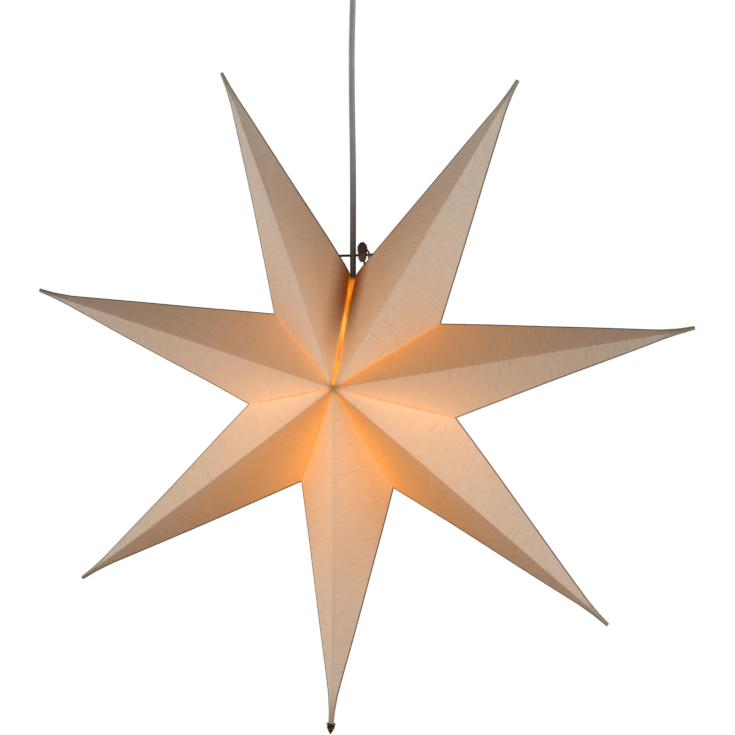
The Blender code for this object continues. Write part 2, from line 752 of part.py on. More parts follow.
def make_ceiling(parts, helpers, finishes):
    steel, plastic = finishes["steel"], finishes["plastic"]
    boss_foot = -PLATE_THICKNESS - BOSS_HEIGHT
    bore = HOOK_WIRE + GAP
    bore_top = boss_foot + BOSS_BORE_DEPTH
    plate = [(0.0, 0.0), (PLATE_RADIUS, 0.0), (PLATE_RADIUS, -PLATE_THICKNESS)]
    plate += [(BOSS_RADIUS, -PLATE_THICKNESS), (BOSS_RADIUS, boss_foot)]
    plate += [(bore, boss_foot), (bore, bore_top), (0.0, bore_top)]
    disc = turned("ceiling_plate", plate, False, parts, steel, ROUND, (0, 0, 0))
    for side, word in ((-1, "front"), (1, "back")):
        spot = Vector((0.0, side * PLATE_SCREW_REACH, 0.0))
        over, under = CUT_PAST, -PLATE_THICKNESS - CUT_PAST
        ends = [spot + Vector((0.0, 0.0, height)) for height in (over, under)]
        name = f"plate_hole_{word}"
        boolean(disc, helper(rod_mesh(name, PLATE_SCREW_HOLE, *ends), name, helpers))

    hook = [Vector((0.0, 0.0, bore_top - GAP)), Vector((0.0, 0.0, boss_foot - HOOK_WIRE))]
    for step in range(HOOK_STEPS + 1):
        angle = HOOK_FROM + (HOOK_TO - HOOK_FROM) * step / HOOK_STEPS
        around = Vector((0.0, math.cos(angle), math.sin(angle))) * HOOK_RADIUS
        hook.append(around - Vector((0.0, 0.0, HOOK_DROP)))
    wire("ceiling_hook", hook, HOOK_WIRE, parts, steel)

    low, high = -PLATE_THICKNESS - GAP - BLOCK_SIZE[2], -PLATE_THICKNESS - GAP
    half = BLOCK_SIZE[1] / 2
    corners = (BLOCK_NEAR, -half, low), (BLOCK_NEAR + BLOCK_SIZE[0], half, high)
    block = place(box_mesh("terminal_block", *corners), "terminal_block", parts, plastic)
    for pole in (-1, 1):
        across = pole * half / 2
        name = f"block_wire_hole_{pole + 2}"
        height = low + BLOCK_WELL_DEPTH - BLOCK_WIRE_HOLE * 2
        far = BLOCK_NEAR + BLOCK_SIZE[0]
        ends = (BLOCK_NEAR - CUT_PAST, across, height), (far + CUT_PAST, across, height)
        boolean(block, helper(rod_mesh(name, BLOCK_WIRE_HOLE, *ends), name, helpers))
        for row in (0, 1):
            reach = BLOCK_NEAR + BLOCK_SIZE[0] / 2 + (row - 0.5) * BLOCK_SCREW_PITCH
            number = pole + 2 + row
            name = f"terminal_block_screw_{number}"
            roof = Vector((reach, across, low + BLOCK_WELL_DEPTH))
            mouth = Vector((reach, across, low - CUT_PAST))
            well = rod_mesh(name + "_well", BLOCK_WELL, mouth, roof)
            boolean(block, helper(well, name + "_well", helpers))
            tip = roof - Vector((0.0, 0.0, GAP))
            end = tip - Vector((0.0, 0.0, BLOCK_SCREW_LENGTH))
            slotted_screw(name, BLOCK_SCREW_RADIUS, tip, end, parts, helpers, steel)


def make_hanger(parts, helpers, finishes):
    """An eye over a round body that grips the cord's top end."""
    foot = HANGER_TOP - HANGER_LENGTH
    bore = CORD_RADIUS + GAP
    roof = HANGER_TOP - HANGER_BORE_END
    profile = [(0.0, HANGER_TOP), (HANGER_RADIUS - HANGER_CHAMFER, HANGER_TOP)]
    profile += [(HANGER_RADIUS, HANGER_TOP - HANGER_CHAMFER), (HANGER_RADIUS, foot)]
    profile += [(bore, foot), (bore, roof), (0.0, roof)]
    body = turned("cord_hanger", profile, False, parts, finishes["plastic"], ROUND, (0, 0, 0))
    spin = bmesh.new()
    section = bmesh.ops.create_circle(
        spin, cap_ends=False, segments=TINY_ROUND, radius=EYE_WIRE
    )
    bmesh.ops.translate(spin, vec=(EYE_RADIUS, 0.0, 0.0), verts=section["verts"])
    bmesh.ops.spin(
        spin,
        geom=[*spin.verts, *spin.edges],
        cent=(0.0, 0.0, 0.0),
        axis=(0.0, 1.0, 0.0),
        angle=2 * math.pi,
        steps=EYE_STEPS,
        use_merge=True,
    )
    bmesh.ops.remove_doubles(spin, verts=spin.verts, dist=WELD)
    bmesh.ops.recalc_face_normals(spin, faces=spin.faces)
    eye = helper(mesh_of(spin, "hanger_eye"), "hanger_eye", helpers, (0, 0, EYE_MIDDLE))
    boolean(body, eye, "UNION")
    height = HANGER_TOP - HANGER_SCREW_DROP
    inner = Vector((0.0, -(bore + GAP), height))
    outer = Vector((0.0, -(HANGER_RADIUS + SCREW_PROUD), height))
    name = "cord_hanger_screw"
    hole_start = Vector((0.0, -bore / 2, height))
    hole = rod_mesh(name + "_hole", HANGER_SCREW_RADIUS + GAP, hole_start, outer)
    boolean(body, helper(hole, name + "_hole", helpers))
    slotted_screw(name, HANGER_SCREW_RADIUS, inner, outer, parts, helpers, finishes["steel"])


def make_cup(parts, helpers, finishes):
    inner = CUP_RADIUS - CUP_WALL
    hole = GRIP_NECK + GAP
    corner_radius = CUP_RADIUS - CUP_CORNER
    corner_height = CUP_FLOOR + CUP_CORNER
    outside = arc(corner_radius, corner_height, CUP_CORNER, 0, -90, CUP_CORNER_STEPS)
    bend = CUP_CORNER - CUP_WALL
    inside = arc(corner_radius, corner_height, bend, -90, 0, CUP_CORNER_STEPS)
    profile = [(CUP_RADIUS, -CUP_TOP), *outside, (hole, CUP_FLOOR)]
    profile += [(hole, CUP_FLOOR + CUP_WALL), *inside, (inner, -CUP_TOP)]
    turned("ceiling_cup", profile, True, parts, finishes["cup"], LARGE_ROUND, (0, 0, 0))

    low = CUP_FLOOR + CUP_WALL + GAP
    top = low + GRIP_FLANGE_THICKNESS
    foot = CUP_FLOOR - GRIP_NECK_LENGTH
    grip = [(GRIP_FLANGE, top), (GRIP_FLANGE, low), (GRIP_NECK, low), (GRIP_NECK, foot)]
    grip += [(GRIP_BORE, foot), (GRIP_BORE, top)]
    body = turned("cup_grip", grip, True, parts, finishes["plastic"], ROUND, (0, 0, 0))
    height = CUP_FLOOR - GRIP_NECK_LENGTH / 2
    tip = Vector((0.0, -(CORD_RADIUS + GAP), height))
    shoulder = Vector((0.0, -(GRIP_NECK + GAP), height))
    end = shoulder - Vector((0.0, GRIP_SCREW_HEAD_LENGTH, 0.0))
    name = "cup_grip_screw"
    clear = GRIP_SCREW_RADIUS + GAP
    hole = rod_mesh(name + "_hole", clear, (0.0, -GRIP_BORE / 2, height), shoulder)
    boolean(body, helper(hole, name + "_hole", helpers))
    screw = rod_mesh(name, GRIP_SCREW_RADIUS, tip, (shoulder + end) / 2)
    head = helper(rod_mesh(name + "_head", GRIP_SCREW_HEAD, shoulder, end), name + "_head", helpers)
    boolean(place(screw, name, parts, finishes["plastic"]), head, "UNION")


def main():
    clear_scene()
    parts = new_collection("Folding star lantern")
    helpers = new_collection("Cutters", hidden=True)
    finishes = all_materials()
    make_ceiling(parts, helpers, finishes)
    make_hanger(parts, helpers, finishes)
    make_cup(parts, helpers, finishes)
    make_cord(parts, finishes["cord"])
    make_holder(parts, helpers, finishes)
    make_lamp(parts, finishes)
    make_points(parts, helpers, finishes["paper"])
    make_seam_boards(parts, finishes["board"])
    make_string(parts, finishes["string"])
    make_bottom_cap(parts, finishes["brass"])


main()
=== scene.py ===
"""A lit folding star lantern on its cord, built round the packed frame."""

import math

import bmesh
import bpy
from mathutils import Matrix, Vector, noise


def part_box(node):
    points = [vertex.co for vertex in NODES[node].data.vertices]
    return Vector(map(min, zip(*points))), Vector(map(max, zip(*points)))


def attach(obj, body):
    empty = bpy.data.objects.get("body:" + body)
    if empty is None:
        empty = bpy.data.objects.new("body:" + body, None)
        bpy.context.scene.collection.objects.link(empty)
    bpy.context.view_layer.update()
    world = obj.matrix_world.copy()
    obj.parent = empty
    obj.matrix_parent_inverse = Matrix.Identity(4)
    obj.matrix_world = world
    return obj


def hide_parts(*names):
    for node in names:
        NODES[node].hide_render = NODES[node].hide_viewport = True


bl_info = {
    "name": "Folding star lantern",
    "version": (1, 0, 0),
    "blender": (4, 5, 0),
    "location": "3D View > Sidebar > Lantern",
    "description": "Builds a lit folding paper star lantern with its cord and fittings",
    "category": "Add Mesh",
}

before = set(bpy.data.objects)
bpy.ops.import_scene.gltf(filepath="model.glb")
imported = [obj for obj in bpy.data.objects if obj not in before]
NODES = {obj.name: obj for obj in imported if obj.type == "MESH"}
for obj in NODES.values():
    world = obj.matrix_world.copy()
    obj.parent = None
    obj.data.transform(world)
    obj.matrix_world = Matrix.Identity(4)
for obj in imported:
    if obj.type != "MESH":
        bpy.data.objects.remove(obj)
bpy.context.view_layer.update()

# The star's own layout, as in the frame
STAR = Vector((0.0, 0.0, -0.434))
POINT_COUNT = 7
LOWEST = POINT_COUNT // 2
PITCH = 2 * math.pi / POINT_COUNT
LEAN = math.radians(3.4)
STALK = 0.030
STALK_ROOT_SHARE = 0.078
LAMP = STAR + Vector((0.0, 0.0, -0.009))

# The cord from the lampholder up into its hanger: (sideways, above the star's middle)
CORD_ROUTE = (
    (0.0, 0.0590),
    (0.0, 0.0738),
    (0.0, 0.0980),
    (0.0, 0.1250),
    (0.0, 0.1520),
    (0.0, 0.1800),
    (-0.0002, 0.2050),
    (-0.0006, 0.2300),
    (-0.0010, 0.2550),
    (-0.0012, 0.2800),
    (-0.0011, 0.3050),
    (-0.0006, 0.3280),
    (-0.0001, 0.3480),
    (0.0, 0.3640),
    (0.0, 0.3780),
    (0.0, 0.3890),
)

# Each point clockwise from the seam: how far its tip leans sideways and out from its middle
# line, how far its stalk curls sideways, how deep the lamp's painted orange lies on its facets
# before and after its ridge, and how much painted shade lies on them beside the open seam
POINT_SHAPES = (
    {"lean": -0.0025, "out": 0.0011, "curl": 0.0010, "valley_glow": (0.0, 0.15), "seam_shade": (1.0, 0.0)},
    {"lean": -0.0003, "out": 0.0014, "curl": -0.0012, "valley_glow": (0.95, 0.2), "seam_shade": (0.0, 0.0)},
    {"lean": 0.0017, "out": 0.0021, "curl": 0.0, "valley_glow": (0.2, 1.0), "seam_shade": (0.0, 0.0)},
    {"lean": 0.0023, "out": 0.0015, "curl": 0.0, "valley_glow": (0.3, 0.4), "seam_shade": (0.0, 0.0)},
    {"lean": 0.0025, "out": 0.0009, "curl": 0.0, "valley_glow": (0.95, 0.2), "seam_shade": (0.0, 0.0)},
    {"lean": 0.0004, "out": -0.0008, "curl": 0.0012, "valley_glow": (0.2, 0.6), "seam_shade": (0.0, 0.0)},
    {"lean": -0.0041, "out": -0.0002, "curl": -0.0010, "valley_glow": (0.1, 0.0), "seam_shade": (0.0, 1.0)},
)

# Half the gap beside a point, at the star's middle and at the notch: glued, and at the seam
GLUED_GAP = (0.00008, 0.00008)
SEAM_GAP = (0.00125, 0.0021)

# What each corner of the paper holds for its material
LAYERS = ("reach", "valley", "warmth", "seam_shade", "edge", "stalk", "slit", "beam", "hub", "ridge")


class LanternPaper(bpy.types.PropertyGroup):
    """The folded paper points."""

    tip_radius: bpy.props.FloatProperty(
        name="Tip radius", description="From the star's middle to a point's tip", default=0.307,
        min=0.1, unit="LENGTH"
    )
    notch_radius: bpy.props.FloatProperty(
        name="Notch radius", description="From the star's middle to the corner between two points",
        default=0.0977, min=0.02, unit="LENGTH"
    )
    half_depth: bpy.props.FloatProperty(
        name="Half depth", description="From the star's middle plane to its front peak",
        default=0.0788, min=0.02, unit="LENGTH"
    )
    thickness: bpy.props.FloatProperty(
        name="Paper thickness", description="Thickness of the laminated paper", default=0.0005,
        min=0.0002, unit="LENGTH"
    )
    flange: bpy.props.FloatProperty(
        name="Glue flange", description="Width of the flange folded in along each join",
        default=0.011, min=0.002, unit="LENGTH"
    )
    crease: bpy.props.FloatProperty(
        name="Crease", description="How softly the ridge folds", default=0.0012, min=0.0001,
        unit="LENGTH"
    )
    waviness: bpy.props.FloatProperty(
        name="Waviness", description="How far the paper bows between its folds", default=0.0009,
        min=0.0, unit="LENGTH"
    )
    thread: bpy.props.FloatProperty(
        name="Thread pitch", description="Spacing of the linen face's threads", default=0.0010,
        min=0.0003, unit="LENGTH"
    )
    colour: bpy.props.FloatVectorProperty(
        name="Paper colour", description="Colour of the paper's face", subtype="COLOR",
        default=(0.79, 0.70, 0.585), min=0.0, max=1.0
    )
    glow_colour: bpy.props.FloatVectorProperty(
        name="Glow colour", description="Colour of the lamp through the paper", subtype="COLOR",
        default=(1.0, 0.38, 0.07), min=0.0, max=1.0
    )
    valley_colour: bpy.props.FloatVectorProperty(
        name="Valley colour", description="Colour of the lamp in the folds between points",
        subtype="COLOR", default=(1.0, 0.24, 0.0), min=0.0, max=1.0
    )


class LanternCord(bpy.types.PropertyGroup):
    """The cord and the string that closes the star."""

    cord_diameter: bpy.props.FloatProperty(
        name="Cord diameter", description="Diameter of the round mains cord", default=0.0054,
        min=0.002, unit="LENGTH"
    )
    string_diameter: bpy.props.FloatProperty(
        name="String diameter", description="Diameter of the tie string", default=0.0023,
        min=0.0005, unit="LENGTH"
    )
    cord_colour: bpy.props.FloatVectorProperty(
        name="Cord colour", description="Colour of the cord's sheath", subtype="COLOR",
        default=(0.60, 0.60, 0.58), min=0.0, max=1.0
    )
    string_colour: bpy.props.FloatVectorProperty(
        name="String colour", description="Colour of the tie string", subtype="COLOR",
        default=(0.060, 0.045, 0.036), min=0.0, max=1.0
    )


class LanternFittings(bpy.types.PropertyGroup):
    """The fittings' finishes."""

    brass_colour: bpy.props.FloatVectorProperty(
        name="Brass colour", description="Colour of the bottom cap and contacts",
        subtype="COLOR", default=(0.42, 0.27, 0.09), min=0.0, max=1.0
    )
    plastic_colour: bpy.props.FloatVectorProperty(
        name="Plastic colour", description="Colour of the moulded pieces", subtype="COLOR",
        default=(0.72, 0.71, 0.67), min=0.0, max=1.0
    )
    cup_colour: bpy.props.FloatVectorProperty(
        name="Cup colour", description="Colour of the ceiling cup's paint", subtype="COLOR",
        default=(0.66, 0.65, 0.61), min=0.0, max=1.0
    )


class LanternStage(bpy.types.PropertyGroup):
    """The camera, floor and studio lights."""

    distance: bpy.props.FloatProperty(
        name="Camera distance", description="From the star's middle to the camera", default=2.5,
        min=0.5, unit="LENGTH"
    )
    azimuth: bpy.props.FloatProperty(
        name="Camera azimuth", description="How far round to the right the camera stands",
        default=math.radians(12.6), unit="ROTATION"
    )
    elevation: bpy.props.FloatProperty(
        name="Camera elevation", description="How far above the star's middle the camera is",
        default=math.radians(0.94), unit="ROTATION"
    )
    floor_colour: bpy.props.FloatVectorProperty(
        name="Floor colour", description="Colour of the floor and backdrop", subtype="COLOR",
        default=(0.95, 0.95, 0.95), min=0.0, max=1.0
    )
    side_light: bpy.props.FloatProperty(
        name="Side lights", description="Strength of the two side softboxes in watts",
        default=13.5, min=0.0
    )


# ---- Node helpers -------------------------------------------------------------------------


def fill(tree, made, inputs):
    """Fills a node's inputs; each is a value or another node's socket."""
    for key, value in inputs.items():
        if isinstance(value, bpy.types.NodeSocket):
            tree.links.new(value, made.inputs[key])
        else:
            made.inputs[key].default_value = value
    return made


def node(tree, kind, inputs=None, **settings):
    made = tree.nodes.new(kind)
    for key, value in settings.items():
        setattr(made, key, value)
    return fill(tree, made, inputs or {})


def maths(tree, operation, first, second=0.0):
    return node(tree, "ShaderNodeMath", {0: first, 1: second}, operation=operation).outputs[0]


def mix(tree, amount, first, second):
    """The first colour where amount is 0, the second where it is 1."""
    inputs = {0: amount}
    for slot, colour in ((6, first), (7, second)):
        linked = isinstance(colour, bpy.types.NodeSocket)
        inputs[slot] = colour if linked else (*colour, 1.0)
    return node(tree, "ShaderNodeMix", inputs, data_type="RGBA").outputs[2]


def scaled(tree, vector, amount):
    return node(tree, "ShaderNodeVectorMath", {0: vector, 3: amount}, operation="SCALE").outputs[0]


def spread(tree, value, low, high, to_low=0.0, to_high=1.0):
    """value from low..high to to_low..to_high, eased and clamped."""
    return node(
        tree, "ShaderNodeMapRange", {0: value, 1: low, 2: high, 3: to_low, 4: to_high},
        interpolation_type="SMOOTHSTEP"
    ).outputs[0]


def falling(tree, value, reach):
    """1 at value 0, falling away exponentially over reach."""
    return maths(tree, "EXPONENT", maths(tree, "MULTIPLY", value, -1.0 / reach))


def cloud(tree, place, scale, detail, roughness=0.5):
    """Soft noise over a place, about 0 to 1."""
    return node(
        tree, "ShaderNodeTexNoise",
        {"Vector": place, "Scale": scale, "Detail": detail, "Roughness": roughness}
    ).outputs[0]


def bump(tree, height, strength, distance):
    return node(
        tree, "ShaderNodeBump", {"Height": height, "Strength": strength, "Distance": distance}
    ).outputs[0]


def attribute(tree, name):
    return node(tree, "ShaderNodeAttribute", attribute_name=name).outputs["Fac"]


def object_place(tree):
    return node(tree, "ShaderNodeTexCoord").outputs["Object"]


def tinted(colour, share):
    return tuple(channel * share for channel in colour)


# ---- Effects ------------------------------------------------------------------------------

FLOAT, COLOUR, VECTOR = "NodeSocketFloat", "NodeSocketColor", "NodeSocketVector"


def new_group(name, inputs, outputs):
    """An effect with named inputs and outputs: (name, socket type, default)."""
    tree = bpy.data.node_groups.new(name, "ShaderNodeTree")
    for label, kind, default in inputs:
        made = tree.interface.new_socket(label, in_out="INPUT", socket_type=kind)
        if default is not None:
            made.default_value = default
    for label, kind in outputs:
        tree.interface.new_socket(label, in_out="OUTPUT", socket_type=kind)
    return tree, tree.nodes.new("NodeGroupInput").outputs, tree.nodes.new("NodeGroupOutput")


def linen_group():
    """Threads both ways with slubs: how light the face is, and its height."""
    tree, given, out = new_group(
        "linen face",
        [("Along Across", VECTOR, None), ("Pitch", FLOAT, 0.001), ("Slubs", FLOAT, 0.5)],
        [("Lightness", FLOAT), ("Height", FLOAT)],
    )
    per = maths(tree, "DIVIDE", 1.0, given["Pitch"])
    place = scaled(tree, given["Along Across"], per)

    def streaks(scale, shift, detail, roughness):
        moved = node(tree, "ShaderNodeMapping", {"Vector": place, "Scale": scale, "Location": shift})
        return cloud(tree, moved.outputs[0], 1.0, detail, roughness)

    weft = streaks((1.0, 0.060, 1.0), (0.0, 0.0, 0.0), 2.5, 0.65)
    warp = streaks((0.060, 1.0, 1.0), (3.7, 3.7, 3.7), 2.5, 0.65)
    slub = spread(tree, streaks((0.55, 0.030, 1.0), (9.0, 2.0, 0.0), 1.0, 0.5), 0.63, 0.72)
    slub = maths(tree, "MULTIPLY", slub, given["Slubs"])
    weft = maths(tree, "MULTIPLY", maths(tree, "SUBTRACT", weft, 0.5), 1.35)
    warp = maths(tree, "MULTIPLY", maths(tree, "SUBTRACT", warp, 0.5), 0.45)
    both = maths(tree, "ADD", weft, warp)
    lightness = maths(
        tree, "SUBTRACT", maths(tree, "ADD", both, 1.0), maths(tree, "MULTIPLY", slub, 0.55)
    )
    height = maths(tree, "ADD", both, maths(tree, "MULTIPLY", slub, 0.6))
    fill(tree, out, {"Lightness": lightness, "Height": height})
    return tree


def glow_group():
    """The lamp's light through the paper, from how far off the lamp and the valley are."""
    tree, given, out = new_group(
        "lamp through paper",
        [
            ("Reach", FLOAT, 0.1), ("Valley", FLOAT, 0.1), ("Warmth", FLOAT, 0.0),
            ("Seam Shade", FLOAT, 0.0), ("Beam", FLOAT, 1.0),
            ("Glow", COLOUR, (1.0, 0.5, 0.2, 1.0)), ("Deep", COLOUR, (1.0, 0.3, 0.05, 1.0)),
        ],
        [("Light", COLOUR), ("Line", FLOAT)],
    )
    reach, valley = given["Reach"], given["Valley"]
    near = maths(tree, "MULTIPLY", falling(tree, reach, 0.130), given["Beam"])
    band = maths(tree, "MULTIPLY", falling(tree, valley, 0.015), given["Warmth"])
    band = maths(tree, "MULTIPLY", band, 0.22)
    line = falling(tree, maths(tree, "POWER", maths(tree, "DIVIDE", valley, 0.0009), 2.0), 1.0)
    line = maths(tree, "MULTIPLY", line, spread(tree, reach, 0.06, 0.125, 0.85, 0.25))
    # painted shade beside the open seam dims the painted lamp glow there
    dark = maths(tree, "MULTIPLY", given["Seam Shade"], falling(tree, valley, 0.0075))
    dim = maths(tree, "SUBTRACT", 1.0, dark)
    near = maths(tree, "MULTIPLY", near, dim)
    light = node(
        tree, "ShaderNodeVectorMath",
        {0: scaled(tree, given["Glow"], near), 1: scaled(tree, given["Deep"], band)},
        operation="ADD"
    ).outputs[0]
    fill(tree, out, {"Light": light, "Line": maths(tree, "MULTIPLY", line, dim)})
    return tree


def grain_group():
    """Fine moulding or casting grain with soft handling marks."""
    tree, given, out = new_group(
        "fine grain",
        [("Scale", FLOAT, 900.0), ("Marks", FLOAT, 40.0)],
        [("Grain", FLOAT), ("Wear", FLOAT)],
    )
    fine = cloud(tree, object_place(tree), given["Scale"], 3.0, 0.6)
    marks = cloud(tree, object_place(tree), given["Marks"], 4.0, 0.55)
    fill(tree, out, {"Grain": fine, "Wear": spread(tree, marks, 0.35, 0.70)})
    return tree


def effect(tree, name, maker, inputs):
    """An effect's outputs in this material; its group is built once."""
    group = bpy.data.node_groups.get(name) or maker()
    return node(tree, "ShaderNodeGroup", inputs, node_tree=group).outputs


def grain(tree, scale, marks):
    return effect(tree, "fine grain", grain_group, {"Scale": scale, "Marks": marks})


# ---- Materials ----------------------------------------------------------------------------


def new_material(name):
    made = bpy.data.materials.new(name)
    made.use_nodes = True
    return made, made.node_tree, made.node_tree.nodes["Principled BSDF"]


def solid_finish(name, colour, roughness, metallic=0.0, scale=900.0, marks=45.0, depth=0.00006,
                 darken=0.75, coat=0.0):
    """A plain finish with grain, handling marks and slight changes of colour and gloss."""
    made, tree, shader = new_material(name)
    worn = grain(tree, scale, marks)
    worn_off, kept = min(1.0, roughness * 1.25), roughness * 0.85
    fill(tree, shader, {
        "Base Color": mix(tree, worn["Wear"], tinted(colour, darken), colour),
        "Roughness": spread(tree, worn["Wear"], 0.0, 1.0, worn_off, kept),
        "Metallic": metallic,
        "Coat Weight": coat,
        "Normal": bump(tree, worn["Grain"], 0.35, depth),
    })
    return made


def contrast(tree, light, amount):
    """The weave's lightness, with its contrast cut to amount."""
    return maths(
        tree, "ADD", maths(tree, "MULTIPLY", maths(tree, "SUBTRACT", light, 1.0), amount), 1.0
    )


def paper_material(size):
    """Laminated paper with a linen face, lit through from inside by a painted glow, darker at its
    folds' edges.
    """
    made, tree, shader = new_material("linen_paper")
    reach, valley, warmth, seam_shade, edge, stalk, slit, beam, hub, ridge = (
        attribute(tree, name) for name in LAYERS
    )
    place = node(tree, "ShaderNodeUVMap", uv_map="weave").outputs[0]
    linen = effect(
        tree, "linen face", linen_group,
        {"Along Across": place, "Pitch": size.thread, "Slubs": 0.7}
    )
    glow = effect(
        tree, "lamp through paper", glow_group,
        {
            "Reach": reach, "Valley": valley, "Warmth": warmth, "Seam Shade": seam_shade, "Beam": beam,
            "Glow": (*size.glow_colour, 1.0), "Deep": (*size.valley_colour, 1.0),
        }
    )
    # painted shade beside the open seam, on the face and in the painted glow
    painted_seam_shade = maths(tree, "MULTIPLY", spread(tree, valley, 0.0, 0.019, 1.0, 0.0), seam_shade)
    edge = spread(tree, edge, 0.0009, 0.0021, 1.0, 0.0)
    edge = maths(tree, "MULTIPLY", edge, spread(tree, stalk, 0.0, 1.0, 1.0, 0.3))
    # the face darker and the painted glow dimmer at the star's middle and right on each ridge
    ridge = spread(tree, ridge, 0.0002, 0.0014, 0.16, 0.0)
    dark_hub_and_ridge = maths(tree, "MAXIMUM", maths(tree, "MULTIPLY", hub, 0.75), ridge)
    # painted shade and painted orange lamp light in the valleys, tinting the face
    valley_glow = maths(tree, "MULTIPLY", falling(tree, valley, 0.085), warmth)
    valley_glow = maths(tree, "MULTIPLY", maths(tree, "MULTIPLY", valley_glow, warmth), 0.74)

    face = mix(tree, painted_seam_shade, size.colour, (0.16, 0.030, 0.0))
    face = mix(tree, valley_glow, face, (0.62, 0.25, 0.06))
    face = mix(tree, stalk, face, (0.42, 0.41, 0.35))
    face = scaled(tree, face, contrast(tree, linen["Lightness"], 0.30))
    # painted glow line along each valley: the face dark beneath it, the glow bright orange
    face = mix(tree, glow["Line"], face, (0.10, 0.04, 0.01))
    face = mix(tree, dark_hub_and_ridge, face, (0.16, 0.12, 0.08))
    face = mix(tree, maths(tree, "MULTIPLY", edge, 0.88), face, (0.075, 0.040, 0.020))

    # the lamp's light through the paper, painted as emission
    lit = scaled(tree, glow["Light"], contrast(tree, linen["Lightness"], 0.32))
    lit = mix(tree, painted_seam_shade, lit, (0.14, 0.030, 0.0))
    lit = mix(tree, glow["Line"], lit, mix(tree, warmth, (0.88, 0.42, 0.15), (1.0, 0.33, 0.015)))
    lit = mix(tree, dark_hub_and_ridge, lit, (0.10, 0.055, 0.02))
    lit = mix(tree, maths(tree, "MULTIPLY", edge, 0.9), lit, (0.0, 0.0, 0.0))
    # painted lamp glow on the seam's inner flanges, seen through the slit, dimmer near the notch
    streak = spread(tree, cloud(tree, place, 26.0, 1.0), 0.40, 0.62)
    inside = mix(tree, streak, (0.80, 0.20, 0.002), (1.0, 0.40, 0.03))
    inside = mix(tree, spread(tree, slit, 0.4, 1.0), (0.42, 0.10, 0.0), inside)
    fill(tree, shader, {
        "Base Color": face,
        "Emission Color": mix(tree, maths(tree, "GREATER_THAN", slit, 0.1), lit, inside),
        "Emission Strength": 1.0,
        "Roughness": 0.85,
        "Specular IOR Level": 0.25,
        "Normal": bump(tree, linen["Height"], 0.5, 0.00012),
    })
    return made


def cord_material(size):
    """Grey sheath, slightly soiled; painted shade darkens it near the star, painted glow lights it
    inside.
    """
    made, tree, shader = new_material("cord_sheath")
    worn = grain(tree, 1400.0, 60.0)
    height = node(tree, "ShaderNodeSeparateXYZ", {0: object_place(tree)}).outputs["Z"]
    # painted shade: the sheath darkens where it runs down to the star
    low = spread(tree, height, STAR.z + 0.085, STAR.z + 0.21, 1.0, 0.0)
    # painted lamp glow where the cord passes into the star
    inside = spread(tree, height, STAR.z + 0.0925, STAR.z + 0.0985, 1.0, 0.0)
    tone = mix(tree, worn["Wear"], tinted(size.cord_colour, 0.86), size.cord_colour)
    fill(tree, shader, {
        "Base Color": mix(tree, low, tone, (0.045, 0.020, 0.010)),
        "Emission Color": mix(tree, inside, (0.0, 0.0, 0.0), (0.80, 0.20, 0.002)),
        "Emission Strength": 1.0,
        "Roughness": 0.50,
        "Normal": bump(tree, worn["Grain"], 0.25, 0.00005),
    })
    return made


def string_material(size):
    """Twisted cotton: slanting strands round the string, paler where its pale layer is set."""
    made, tree, shader = new_material("twisted_string")
    place = node(tree, "ShaderNodeUVMap", uv_map="twist").outputs[0]
    strands = node(
        tree, "ShaderNodeTexWave", {"Vector": place, "Scale": 1.0, "Distortion": 0.6, "Detail": 2.0},
        wave_type="BANDS", bands_direction="DIAGONAL"
    ).outputs[1]
    tone = mix(tree, strands, size.string_colour, tinted(size.string_colour, 2.2))
    # a paler tone where the pale layer is set, towards the bow's bottom
    pale_tone = mix(tree, strands, (0.24, 0.125, 0.080), (0.46, 0.27, 0.18))
    fill(tree, shader, {
        "Base Color": mix(tree, attribute(tree, "pale"), tone, pale_tone),
        "Roughness": 0.9,
        "Normal": bump(tree, strands, 0.6, 0.0002),
    })
    return made


def glass_material(name, tint, alpha, roughness, light):
    """Thin glass that the lamp's light fills."""
    made, tree, shader = new_material(name)
    wear = grain(tree, 700.0, 30.0)["Wear"]
    fill(tree, shader, {
        "Base Color": mix(tree, wear, tinted(tint, 0.94), tint),
        "Roughness": roughness,
        "Alpha": alpha,
        "Emission Color": mix(tree, wear, tinted(light, 0.9), light),
        "Emission Strength": 1.0,
    })
    return made


def backdrop_material(size):
    """Matt white that the camera sees as lit evenly."""
    made, tree, shader = new_material("studio_sweep")
    soft = cloud(tree, object_place(tree), 3.0, 2.0)
    seen = node(tree, "ShaderNodeLightPath").outputs["Is Camera Ray"]
    fill(tree, shader, {
        "Base Color": mix(tree, soft, size.floor_colour, tinted(size.floor_colour, 0.99)),
        "Roughness": 0.9,
        "Emission Color": mix(tree, seen, (0.0, 0.0, 0.0), (0.93, 0.93, 0.93)),
        "Emission Strength": 1.0,
    })
    return made


# ---- Mesh helpers -------------------------------------------------------------------------


def add_object(name, data):
    made = bpy.data.objects.new(name, data)
    bpy.context.scene.collection.objects.link(made)
    return made


def add_mesh(name, bm, finish):
    mesh = bpy.data.meshes.new(name)
    bm.to_mesh(mesh)
    bm.free()
    mesh.shade_smooth()
    mesh.materials.append(finish)
    return add_object(name, mesh)


def add_piece(name, bm, finish, body, replaced, smooth=35):
    """Makes bm a piece that rides on body and stands for the CAD node replaced."""
    piece = add_mesh(name, bm, finish)
    piece.data.set_sharp_from_angle(angle=math.radians(smooth))
    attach(piece, body)
    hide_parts(replaced)


def box_corners(name):
    return (Vector(corner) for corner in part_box(name))


def extruded(bm, edges):
    """Extrudes a chain of edges: (its new vertices, its new far edges)."""
    made = bmesh.ops.extrude_edge_only(bm, edges=edges)["geom"]
    verts = [item for item in made if isinstance(item, bmesh.types.BMVert)]
    edges = [item for item in made if isinstance(item, bmesh.types.BMEdge)]
    return verts, [edge for edge in edges if all(vert in verts for vert in edge.verts)]


